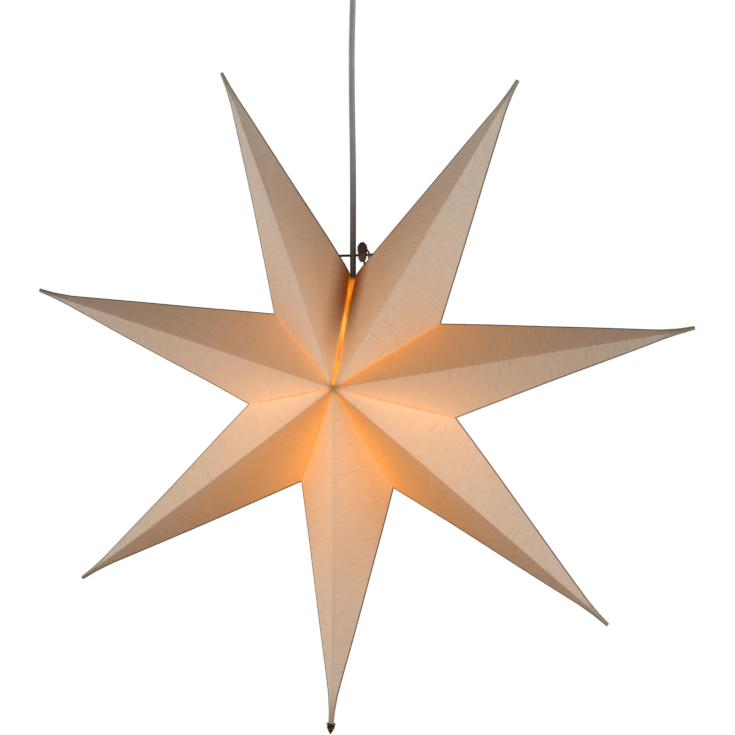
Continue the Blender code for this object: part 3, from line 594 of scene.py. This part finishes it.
def cut(bm, place_on, normal):
    """Cuts away what lies past a plane."""
    bmesh.ops.bisect_plane(
        bm, geom=[*bm.verts, *bm.edges, *bm.faces], dist=0.000003, plane_co=place_on,
        plane_no=normal, clear_outer=True
    )


def ease(value, low, high):
    part = min(1.0, max(0.0, (value - low) / (high - low)))
    return part * part * (3 - 2 * part)


def smooth_route(points, spacing):
    """Even steps along a smooth curve through the points."""
    points = [Vector(point) for point in points]
    ends = [2 * points[0] - points[1], *points, 2 * points[-1] - points[-2]]
    fine = []
    for before, start, end, after in zip(ends, ends[1:], ends[2:], ends[3:]):
        steps = max(1, round((end - start).length / spacing))
        for i in range(steps):
            t = i / steps
            bend = 2 * before - 5 * start + 4 * end - after
            twist = 3 * start - before - 3 * end + after
            fine.append(0.5 * (2 * start + (end - before) * t + bend * t * t + twist * t * t * t))
    return [*fine, points[-1]]


def tube(route, radius, sides, bm=None):
    """A closed tube along a route of points, with its UV map "twist" round and along it."""
    bm = bm or bmesh.new()
    twist = bm.loops.layers.uv.get("twist") or bm.loops.layers.uv.new("twist")
    before = set(bm.faces)
    ring = bmesh.ops.create_circle(bm, cap_ends=False, segments=sides, radius=radius)["verts"]
    edges = start_edges = [edge for edge in bm.edges if all(vert in ring for vert in edge.verts)]
    way = (route[1] - route[0]).normalized()
    facing = Vector((0.0, 0.0, 1.0)).rotation_difference(way).to_matrix().to_4x4()
    bmesh.ops.transform(bm, matrix=Matrix.Translation(route[0]) @ facing, verts=ring)
    for index in range(1, len(route)):
        verts, edges = extruded(bm, edges)
        after = route[min(index + 1, len(route) - 1)]
        new_way = (after - route[index - 1]).normalized()
        turn = way.rotation_difference(new_way).to_matrix().to_4x4()
        move = Matrix.Translation(route[index]) @ turn @ Matrix.Translation(-route[index - 1])
        bmesh.ops.transform(bm, matrix=move, verts=verts)
        way = new_way
    for face in set(bm.faces) - before:
        for loop in face.loops:
            near = min(range(len(route)), key=lambda i: (loop.vert.co - route[i]).length_squared)
            away = loop.vert.co - route[near]
            loop[twist].uv = (math.atan2(away.y, away.x + away.z) * 2, near * 1.1)
    bmesh.ops.contextual_create(bm, geom=edges)
    bmesh.ops.contextual_create(bm, geom=start_edges)
    bmesh.ops.recalc_face_normals(bm, faces=bm.faces)
    return bm


def turned(profile, steps, middle=(0.0, 0.0, 0.0)):
    """(radius, height) pairs spun about Z, from the axis or back to where they began."""
    bm = bmesh.new()
    verts = [bm.verts.new((radius, 0.0, height)) for radius, height in profile]
    edges = [bm.edges.new(pair) for pair in zip(verts, verts[1:])]
    bmesh.ops.spin(
        bm, geom=[*verts, *edges], cent=(0, 0, 0), axis=(0, 0, 1), angle=2 * math.pi, steps=steps,
        use_merge=True, use_duplicate=False
    )
    bmesh.ops.remove_doubles(bm, verts=bm.verts, dist=0.000002)
    bmesh.ops.recalc_face_normals(bm, faces=bm.faces)
    bmesh.ops.translate(bm, vec=middle, verts=bm.verts)
    return bm


def repaint(finish, *names):
    for name in names:
        NODES[name].material_slots[0].material = finish


# ---- The points ---------------------------------------------------------------------------


def point_angles():
    """(middle, half angle before, half angle after) of each point, clockwise from the seam."""
    angles = []
    for number in range(POINT_COUNT):
        middle = LEAN + (number + 0.5) * PITCH
        before = middle if number == 0 else PITCH / 2
        after = 2 * math.pi - middle if number == POINT_COUNT - 1 else PITCH / 2
        angles.append((middle, before, after))
    return angles


def point_share(height, tip, end_share):
    """How wide the point is at a height, as a share of its foot, with a slim stalk at its end."""
    root = tip - STALK
    if height <= root:
        return 1 - (1 - STALK_ROOT_SHARE) * height / root
    part = (height - root) / STALK
    middle = (STALK_ROOT_SHARE + end_share) / 2 - 0.010
    first = STALK_ROOT_SHARE + (middle - STALK_ROOT_SHARE) * min(part / 0.53, 1.0)
    last = middle + (end_share - middle) * max((part - 0.53) / 0.47, 0.0)
    return first if part < 0.53 else last


def sector_plane(side, half_angle, at_centre, at_notch, notch):
    """The plane that bounds a point on one side: (a place on it, its outward normal)."""
    angle = half_angle - math.atan2(at_notch - at_centre, notch)
    normal = Vector((side * math.cos(angle), 0.0, -math.sin(angle)))
    return -normal * at_centre, normal


def fold_flange(bm, place_on, normal, share):
    """Folds a glue flange inwards along the open edges in a bounding plane."""
    rim = [
        edge for edge in bm.edges
        if edge.is_boundary
        and all(abs((vert.co - place_on).dot(normal)) < 0.00004 for vert in edge.verts)
    ]
    verts, _ = extruded(bm, rim)
    bmesh.ops.scale(bm, vec=(share,) * 3, verts=verts, space=Matrix.Translation(-place_on))


def point_skin(size, sides, tip, end_share):
    """One hollow point built upwards from the star's middle, open at its two joins."""
    root = tip - STALK
    width = {}
    for direction, half_angle, _, _ in sides:
        rise = size.notch_radius * math.cos(half_angle) / root
        reach = size.notch_radius * math.sin(half_angle)
        width[direction] = reach / (1 - (1 - STALK_ROOT_SHARE) * rise)
    bm = bmesh.new()
    ring = bmesh.ops.create_circle(bm, cap_ends=False, segments=4, radius=1.0)["verts"]
    for vert in ring:
        across = round(vert.co.x)
        vert.co = (across * width.get(across, 0.0), round(vert.co.y) * size.half_depth, 0.0)
    bmesh.ops.subdivide_edges(bm, edges=bm.edges, cuts=7)
    edges = list(bm.edges)
    heights = [root * i / 40 for i in range(1, 41)]
    heights += [root + STALK * i / 10 for i in range(1, 11)]
    share, height = 1.0, 0.0
    for new_height in heights:
        verts, edges = extruded(bm, edges)
        new_share = point_share(new_height, tip, end_share)
        factor = new_share / share
        bmesh.ops.scale(bm, vec=(factor, factor, 1.0), verts=verts)
        bmesh.ops.translate(bm, vec=(0.0, 0.0, new_height - height), verts=verts)
        share, height = new_share, new_height
    bmesh.ops.contextual_create(bm, geom=edges)
    bmesh.ops.recalc_face_normals(bm, faces=bm.faces)
    top = max(bm.faces, key=lambda face: face.calc_center_median().z)
    if top.normal.z < 0:
        bmesh.ops.reverse_faces(bm, faces=bm.faces)
    return bm, width


def facet_places(co, direction, width, size):
    """Where a place lies on its facet: (along the ridge, off the ridge, off the outer fold)."""
    face = -1.0 if co.y < 0 else 1.0
    foot = Vector((0.0, face * size.half_depth, 0.0))
    ridge = Vector((0.0, -face * size.half_depth, size.tip_radius)).normalized()
    away = co - foot
    along = away.dot(ridge)
    off = (away - ridge * along).length
    slope = math.hypot(width[direction], size.half_depth) / size.half_depth
    return along, off, abs(co.y) * slope


def set_layers(bm, number, width, size, tip, planes, own):
    """Gives each corner its place on the weave and how the lamp reaches it."""
    weave = bm.loops.layers.uv.new("weave")
    layers = {name: bm.loops.layers.float.new(name) for name in LAYERS}
    back = Matrix.Rotation(-point_angles()[number][0], 3, "Y")
    lamp, up = back @ (LAMP - STAR), back @ Vector((0.0, 0.0, 1.0))
    for face in bm.faces:
        middle = face.calc_center_median()
        direction = 1 if middle.x > 0 else -1
        index = 0 if direction < 0 else 1
        place_on, normal = planes[index]
        flange = abs((middle - place_on).dot(normal)) < size.thickness * 1.6
        seam = (number == 0 and index == 0) or (number == POINT_COUNT - 1 and index == 1)
        for loop in face.loops:
            co = loop.vert.co
            along, off, fold = facet_places(co, direction, width, size)
            radius = math.hypot(co.x, co.z)
            above = (co - lamp).normalized().dot(up)
            # painted shade beside the open seam, on this side of the point
            seam_shade = own["seam_shade"][index]
            inside = seam and flange and abs(face.normal.dot(normal)) > 0.985
            loop[weave].uv = (along + 0.37 * number, direction * off + 0.11 * number)
            held = {
                "reach": (co - lamp).length,
                "valley": max(0.0, -(co - place_on).dot(normal)) * 1.15,
                # how much painted orange lamp light lies in this side's valleys
                "warmth": own["valley_glow"][index],
                "seam_shade": seam_shade * ease(radius, 0.020, 0.090),
                "edge": 1.0 if flange else fold,
                "stalk": min(1.0, max(0.0, (co.z - tip + 0.032) / 0.022)),
                "slit": 1 - 0.6 * ease(radius, 0.086, 0.0975) if inside else 0.0,
                "beam": 0.69 - 0.29 * above + 0.22 * seam_shade,
                "hub": 1 - ease(radius, 0.002, 0.009),
                "ridge": off,
            }
            for name, value in held.items():
                loop[layers[name]] = value


def shape_point(bm, number, tip, own, size):
    """Bows the paper between its folds, leans the point and curls its stalk."""
    for vert in bm.verts:
        co = vert.co
        rise = min(max((co.z - 0.09) / (tip - 0.09), 0.0), 1.0)
        share = max(0.0, 1 - co.z / tip)
        wave = noise.noise(Vector((co.x * 14, co.y * 14, co.z * 9 + number * 7.3)))
        loose = min(1.0, rise * 5) * min(1.0, share * 6)
        vert.co.x += own["lean"] * rise ** 1.3
        vert.co.x += own["curl"] * max(0.0, (co.z - tip + 0.045) / 0.045) ** 2
        vert.co.z += own["out"] * rise
        vert.co += vert.normal * wave * size.waviness * loose


def make_point(size, finish, number):
    """One point: its skin, glue flanges and wall, shaped and set in its place."""
    middle, before, after = point_angles()[number]
    own = POINT_SHAPES[number]
    first, last = number == 0, number == POINT_COUNT - 1
    sides = (
        (-1, before, *(SEAM_GAP if first else GLUED_GAP)),
        (1, after, *(SEAM_GAP if last else GLUED_GAP)),
    )
    capped = number == LOWEST
    tip = size.tip_radius - (0.0015 if capped else 0.0)
    bm, width = point_skin(size, sides, tip, 0.039 if capped else 0.027)
    planes = [sector_plane(*side, size.notch_radius) for side in sides]
    hole = (Vector((0.0, 0.0, 0.0012)), Vector((0.0, 0.0, -1.0)))
    for place_on, normal in (*planes, hole):
        cut(bm, place_on, normal)
    ridges = [
        edge for edge in bm.edges
        if all(abs(vert.co.x) < 0.00001 for vert in edge.verts)
        and max(vert.co.z for vert in edge.verts) < tip - 0.004
        and not edge.is_boundary
    ]
    apothem = size.notch_radius * size.half_depth / math.hypot(size.notch_radius, size.half_depth)
    share = 1 - size.flange / apothem
    for place_on, normal in planes:
        fold_flange(bm, place_on, normal, share)
    bm.normal_update()
    shape_point(bm, number, tip, own, size)
    bmesh.ops.bevel(
        bm, geom=ridges, offset=size.crease, offset_type="OFFSET", affect="EDGES", segments=2,
        profile=0.5, material=-1, clamp_overlap=True
    )
    bmesh.ops.solidify(bm, geom=list(bm.faces), thickness=size.thickness)
    set_layers(bm, number, width, size, tip, planes, own)
    if first or last:
        clear_cord(bm, middle)
    set_in_star(bm, middle)
    add_piece(
        f"paper_point_{number + 1}", bm, finish, "star", f"star_point_{number + 1}", 28
    )


def set_in_star(bm, middle):
    """Turns what was built upwards to its point's middle line."""
    bmesh.ops.transform(
        bm, matrix=Matrix.Translation(STAR) @ Matrix.Rotation(middle, 4, "Y"), verts=bm.verts
    )


def clear_cord(bm, middle):
    """Pushes the seam's edges aside round the cord at the notch."""
    height, below, over, depth, width, push = 0.098, 0.03, 0.01, 0.016, 0.012, 0.0013
    turn = Matrix.Rotation(middle, 3, "Y")
    back = turn.inverted()
    for vert in bm.verts:
        co = turn @ vert.co
        near = max(0.0, 1 - abs(co.y) / depth) * max(0.0, 1 - max(0.0, height - co.z) / below)
        near *= max(0.0, 1 - max(0.0, co.z - height) / over)
        if abs(co.x) < width and near > 0:
            side = 1 if co.x > 0 else -1
            co.x += side * push * near * (1 - abs(co.x) / width)
            vert.co = back @ co


# ---- Operators ----------------------------------------------------------------------------


class LANTERN_OT_stage(bpy.types.Operator):
    """Camera, pale sweep and soft studio lights"""

    bl_idname = "lantern.stage"
    bl_label = "Stage and lights"

    def execute(self, context):
        size = context.scene.lantern_stage
        self.add_camera(size)
        self.add_world()
        for side, share in ((-1, 1.04), (1, 1.02)):
            place = Vector((side * 1.7, -0.05, -0.56))
            self.add_softbox("side_softbox", place, 1.2, size.side_light * share)
        self.add_softbox("front_fill", Vector((-0.2, -3.2, 0.3)), 2.0, 19.5)
        self.add_lamp_light()
        self.add_sweep(size)
        bpy.context.scene.view_settings.view_transform = "Standard"
        return {"FINISHED"}

    def add_camera(self, size):
        lens = bpy.data.cameras.new("camera")
        lens.sensor_width = 36.0
        lens.lens = 137.3
        lens.shift_x = 0.0197
        lens.shift_y = 0.0261
        lens.clip_start = 0.05
        lens.clip_end = 30.0
        camera = add_object("camera", lens)
        flat = math.cos(size.elevation)
        way = Vector((
            math.sin(size.azimuth) * flat, -math.cos(size.azimuth) * flat,
            math.sin(size.elevation)
        ))
        camera.location = STAR + way * size.distance
        camera.rotation_euler = (-way).to_track_quat("-Z", "Y").to_euler()
        bpy.context.scene.camera = camera

    def add_world(self):
        """White all round: bright to the camera, dim on the paper, between in reflections."""
        world = bpy.data.worlds.new("studio")
        world.use_nodes = True
        tree = world.node_tree
        rays = node(tree, "ShaderNodeLightPath").outputs
        seen = maths(tree, "MULTIPLY", rays["Is Camera Ray"], 0.92)
        mirrored = maths(tree, "MULTIPLY", rays["Is Glossy Ray"], 0.16)
        bright = maths(tree, "ADD", maths(tree, "ADD", seen, mirrored), 0.08)
        fill(tree, tree.nodes["Background"], {"Color": (1.0, 1.0, 1.0, 1.0), "Strength": bright})
        bpy.context.scene.world = world

    def add_softbox(self, name, place, width, energy):
        light = bpy.data.lights.new(name, "AREA")
        light.shape = "SQUARE"
        light.size = width
        light.energy = energy
        box = add_object(name, light)
        box.location = place
        box.rotation_euler = (STAR - place).to_track_quat("-Z", "Y").to_euler()

    def add_lamp_light(self):
        light = bpy.data.lights.new("lamp_light", "POINT")
        light.energy = 0.6
        light.color = (1.0, 0.62, 0.30)
        light.shadow_soft_size = 0.018
        add_object("lamp_light", light).location = LAMP - Vector((0.0, 0.0, 0.03))

    def add_sweep(self, size):
        """A floor that bends up into a wall, well clear of the lantern on all sides."""
        half_width, front, floor, depth, bend, wall = 14.0, -9.0, -3.6, 18.0, 1.2, 8.0
        turns = [math.pi / 24 * i for i in range(13)]
        steps = [
            (depth, 0.0),
            *(
                (bend * (math.sin(last) - math.sin(first)), bend * (math.cos(first) - math.cos(last)))
                for first, last in zip(turns, turns[1:])
            ),
            (0.0, wall),
        ]
        bm = bmesh.new()
        ends = [bm.verts.new((side * half_width, front, floor)) for side in (-1, 1)]
        edges = [bm.edges.new(ends)]
        for along, rise in steps:
            verts, edges = extruded(bm, edges)
            bmesh.ops.translate(bm, vec=(0.0, along, rise), verts=verts)
        bmesh.ops.recalc_face_normals(bm, faces=bm.faces)
        add_mesh("studio_sweep", bm, backdrop_material(size))


class LANTERN_OT_cord(bpy.types.Operator):
    """The round cord from the lampholder up into its hanger"""

    bl_idname = "lantern.cord"
    bl_label = "Cord"

    def execute(self, context):
        size = context.scene.lantern_cord
        route = smooth_route([STAR + Vector((x, 0.0, z)) for x, z in CORD_ROUTE], 0.006)
        curve = bpy.data.curves.new("hanging_cord", "CURVE")
        curve.dimensions = "3D"
        curve.bevel_depth = size.cord_diameter / 2
        curve.bevel_resolution = 7
        curve.use_fill_caps = True
        spline = curve.splines.new("POLY")
        spline.points.add(len(route) - 1)
        for slot, point in zip(spline.points, route):
            slot.co = (*point, 1.0)
        spline.use_smooth = True
        curve.materials.append(cord_material(size))
        cord = add_object("hanging_cord", curve)
        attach(cord, "pendant")
        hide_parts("cord")
        return {"FINISHED"}


class LANTERN_OT_points(bpy.types.Operator):
    """The seven hollow paper points"""

    bl_idname = "lantern.points"
    bl_label = "Paper points"

    def execute(self, context):
        size = context.scene.lantern_paper
        finish = paper_material(size)
        for number in range(POINT_COUNT):
            make_point(size, finish, number)
        return {"FINISHED"}


class LANTERN_OT_string(bpy.types.Operator):
    """The tie string, its stop knots and the bow beside the cord"""

    bl_idname = "lantern.string"
    bl_label = "Tie string and bow"

    def execute(self, context):
        size = context.scene.lantern_cord
        finish = string_material(size)
        low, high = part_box("tie_string")
        behind = (low[1] + high[1]) / 2
        left = Vector((low[0] + 0.0002, behind, low[2] + size.string_diameter / 2))
        right = Vector((high[0] - 0.0002, behind, high[2] - size.string_diameter / 2))
        sag = Vector((0.0, 0.0, 0.0003))
        route = smooth_route([left, left.lerp(right, 0.5) - sag, right], 0.0012)
        string = tube(route, size.string_diameter / 2, 10)
        add_piece("tie_cotton", string, finish, "star", "tie_string")
        for side in ("left", "right"):
            name = f"string_stop_{side}"
            knot = self.overhand(*box_corners(name), size.string_diameter * 0.36)
            add_piece(f"stop_knot_{side}", knot, finish, "star", name)
        bow = self.bow(*box_corners("tie_knot"))
        add_piece("tie_bow", bow, finish, "star", "tie_knot")
        return {"FINISHED"}

    def overhand(self, low, high, thick):
        """A trefoil of string, drawn tight inside the box of its solid."""
        middle = (low + high) / 2
        reach = (high - low).x / 2 - thick
        points = []
        for i in range(48):
            t = 2 * math.pi * i / 48
            swing = (2 + math.cos(3 * t)) / 3
            points.append(middle + reach * Vector((
                math.sin(3 * t) / 2, swing * math.cos(2 * t), swing * math.sin(2 * t)
            )))
        return tube(points, thick, 8)

    def bow(self, low, high):
        """A fat knot of wound string, paler below, with a side loop and a tail."""
        middle = (low + high) / 2 + Vector((0.0013, 0.0, 0.0023))
        half = Vector((0.0047, (high - low).y / 2, 0.0093))
        thick, turns, steps = 0.0009, 11, 22
        wound = []
        for i in range(turns * steps + 1):
            t = i / (turns * steps)
            full = min(1.0, 1.3 * math.sin(math.pi * (0.04 + 0.93 * t)) ** 0.6)
            full *= 0.80 + 0.20 * ease(t, 0.34, 0.60) - 0.12 * math.exp(-((t - 0.36) / 0.05) ** 2)
            turn = 2 * math.pi * i / steps
            wound.append(middle + Vector((
                full * (half.x - thick) * math.cos(turn), full * (half.y - thick) * math.sin(turn),
                (2 * t - 1) * (half.z - thick)
            )))
        bm = tube(wound, thick, 8)
        side = [(2.6, -1.6, 4.4), (4.6, -2.4, 2.2), (6.4, -2.8, -0.4), (7.0, -2.9, -2.8),
                (6.0, -3.0, -5.4)]
        tail = [(0.8, -1.6, -6.4), (2.3, -2.4, -8.6), (2.3, -2.8, -11.4)]
        for bend, share in ((side, 0.95), (tail, 1.05)):
            places = [middle + Vector(place) / 1000 for place in bend]
            tube(smooth_route(places, 0.0006), thick * share, 8, bm)
        pale = bm.loops.layers.float.new("pale")
        for face in bm.faces:
            for loop in face.loops:
                loop[pale] = 1 - 0.8 * ease(loop.vert.co.z, middle.z - 0.0045, middle.z + 0.0005)
        return bm


class LANTERN_OT_bottom_cap(bpy.types.Operator):
    """The small brass bullet on the lowest point"""

    bl_idname = "lantern.bottom_cap"
    bl_label = "Bottom cap"

    def execute(self, context):
        colour = context.scene.lantern_fittings.brass_colour
        finish = solid_finish("aged_brass", colour, 0.20, 1.0, 1600.0, 260.0, 0.00002, 0.35)
        mouth = context.scene.lantern_paper.tip_radius - 0.0065
        bore, widest, shoulder, length = 0.0031, 0.0041, 0.0039, 0.0090
        profile = [
            (0.0, mouth + 0.0053), (bore, mouth + 0.0053), (bore, mouth),
            (0.0038, mouth - 0.0001), (widest, mouth + 0.0002), (widest, mouth + 0.0007),
            (shoulder, mouth + 0.0010),
        ]
        for i in range(1, 17):
            part = i / 16
            profile.append((shoulder * (1 - part ** 1.9), mouth + 0.0010 + length * part))
        own = POINT_SHAPES[LOWEST]
        bm = turned(profile, 40, Vector((own["lean"], 0.0, own["out"])))
        set_in_star(bm, point_angles()[LOWEST][0])
        add_piece("brass_tip_cap", bm, finish, "star", "bottom_cap", 50)
        return {"FINISHED"}


class LANTERN_OT_ceiling_cup(bpy.types.Operator):
    """The round cup that hides the hook and the terminal block"""

    bl_idname = "lantern.ceiling_cup"
    bl_label = "Ceiling cup"

    def execute(self, context):
        colour = context.scene.lantern_fittings.cup_colour
        paint = solid_finish("cup_paint", colour, 0.36, 0.0, 1500.0, 22.0, 0.00003, 0.95, 0.2)
        low, high = box_corners("ceiling_cup")
        radius, top, floor = (high - low).x / 2, high.z, low.z
        corner, wall, rim, hole = 0.020, 0.001, 0.0005, 0.0069
        profile = [(hole, floor + wall)]
        profile += self.arc(hole + rim, floor + rim, rim, -180, -90, 4)
        profile += self.arc(radius - corner, floor + corner, corner, -90, 0, 24)
        profile += [(radius, top - 0.0032), (radius - 0.0003, top - 0.0029),
                    (radius - 0.0003, top - 0.0023), (radius, top - 0.0020)]
        profile += self.arc(radius - rim, top - rim, rim, 0, 180, 8)
        profile += self.arc(radius - corner, floor + corner, corner - wall, 0, -90, 24)
        profile.append(profile[0])
        bm = turned(profile, 144)
        add_piece("ceiling_cup_shell", bm, paint, "cup", "ceiling_cup", 40)
        return {"FINISHED"}

    def arc(self, across, height, radius, start, end, steps):
        return [
            (across + radius * math.cos(turn), height + radius * math.sin(turn))
            for turn in (math.radians(start + (end - start) * i / steps) for i in range(steps + 1))
        ]


class LANTERN_OT_finishes(bpy.types.Operator):
    """Finishes of the lampholder, the lamp, the boards and the ceiling fittings"""

    bl_idname = "lantern.finishes"
    bl_label = "Fittings' finishes"

    def execute(self, context):
        size = context.scene.lantern_fittings
        steel = solid_finish("zinc_steel", (0.55, 0.55, 0.56), 0.34, 1.0, 1200.0, 120.0, 0.00004)
        brass = solid_finish("contact_brass", size.brass_colour, 0.35, 1.0, 1500.0, 200.0)
        plastic = solid_finish(
            "moulded_plastic", size.plastic_colour, 0.42, 0.0, 1300.0, 60.0, 0.00005, 0.90
        )
        ceramic = solid_finish("steatite", (0.74, 0.71, 0.64), 0.55, 0.0, 800.0, 90.0, 0.00008, 0.9)
        black = solid_finish("black_glass", (0.02, 0.02, 0.024), 0.18, 0.0, 900.0, 90.0)
        board = solid_finish("seam_board", (0.42, 0.20, 0.06), 0.9, 0.0, 1100.0, 70.0, 0.0001, 0.8)
        repaint(steel, "ceiling_plate", "ceiling_hook", "cord_hanger_screw", "holder_screw_left",
                "holder_screw_right", "lamp_cap", "lamp_cap_contact")
        repaint(steel, *(f"terminal_block_screw_{i}" for i in range(1, 5)))
        repaint(brass, "holder_sleeve", "holder_contact")
        repaint(plastic, "cord_hanger", "terminal_block", "cup_grip", "cup_grip_screw",
                "holder_cord_nut", "holder_dome", "holder_shell")
        repaint(ceramic, "holder_insert")
        repaint(black, "lamp_cap_insulator")
        repaint(board, "seam_board_left", "seam_board_right")
        repaint(glass_material("frosted_glass", (0.95, 0.88, 0.76), 0.55, 0.45, (1.0, 0.62, 0.30)),
                "lamp_glass")
        repaint(glass_material("clear_glass", (0.9, 0.93, 0.9), 0.4, 0.05, (0.25, 0.16, 0.08)),
                "lamp_stem")
        repaint(glass_material("phosphor", (0.95, 0.70, 0.25), 1.0, 0.6, (1.0, 0.72, 0.38)),
                *(f"lamp_filament_{i}" for i in range(1, 5)))
        return {"FINISHED"}


class LANTERN_PT_panel(bpy.types.Panel):
    """Sizes, colours and the pieces' buttons"""

    bl_idname = "LANTERN_PT_panel"
    bl_label = "Folding star lantern"
    bl_space_type = "VIEW_3D"
    bl_region_type = "UI"
    bl_category = "Lantern"

    def draw(self, context):
        for name, group in GROUPS.items():
            box = self.layout.box()
            box.label(text=group.__doc__)
            for prop in group.__annotations__:
                box.prop(getattr(context.scene, name), prop)
        for operator in OPERATORS:
            self.layout.operator(operator.bl_idname)


GROUPS = {
    "lantern_paper": LanternPaper,
    "lantern_cord": LanternCord,
    "lantern_fittings": LanternFittings,
    "lantern_stage": LanternStage,
}
OPERATORS = (
    LANTERN_OT_stage,
    LANTERN_OT_cord,
    LANTERN_OT_points,
    LANTERN_OT_string,
    LANTERN_OT_bottom_cap,
    LANTERN_OT_ceiling_cup,
    LANTERN_OT_finishes,
)


def register():
    for made in (*GROUPS.values(), *OPERATORS, LANTERN_PT_panel):
        bpy.utils.register_class(made)
    for name, group in GROUPS.items():
        setattr(bpy.types.Scene, name, bpy.props.PointerProperty(type=group))


def unregister():
    for name in GROUPS:
        delattr(bpy.types.Scene, name)
    for made in reversed((*GROUPS.values(), *OPERATORS, LANTERN_PT_panel)):
        bpy.utils.unregister_class(made)


def main():
    register()
    bpy.ops.lantern.stage()
    bpy.ops.lantern.cord()
    bpy.ops.lantern.points()
    bpy.ops.lantern.string()
    bpy.ops.lantern.bottom_cap()
    bpy.ops.lantern.ceiling_cup()
    bpy.ops.lantern.finishes()


if __name__ == "__main__":
    main()
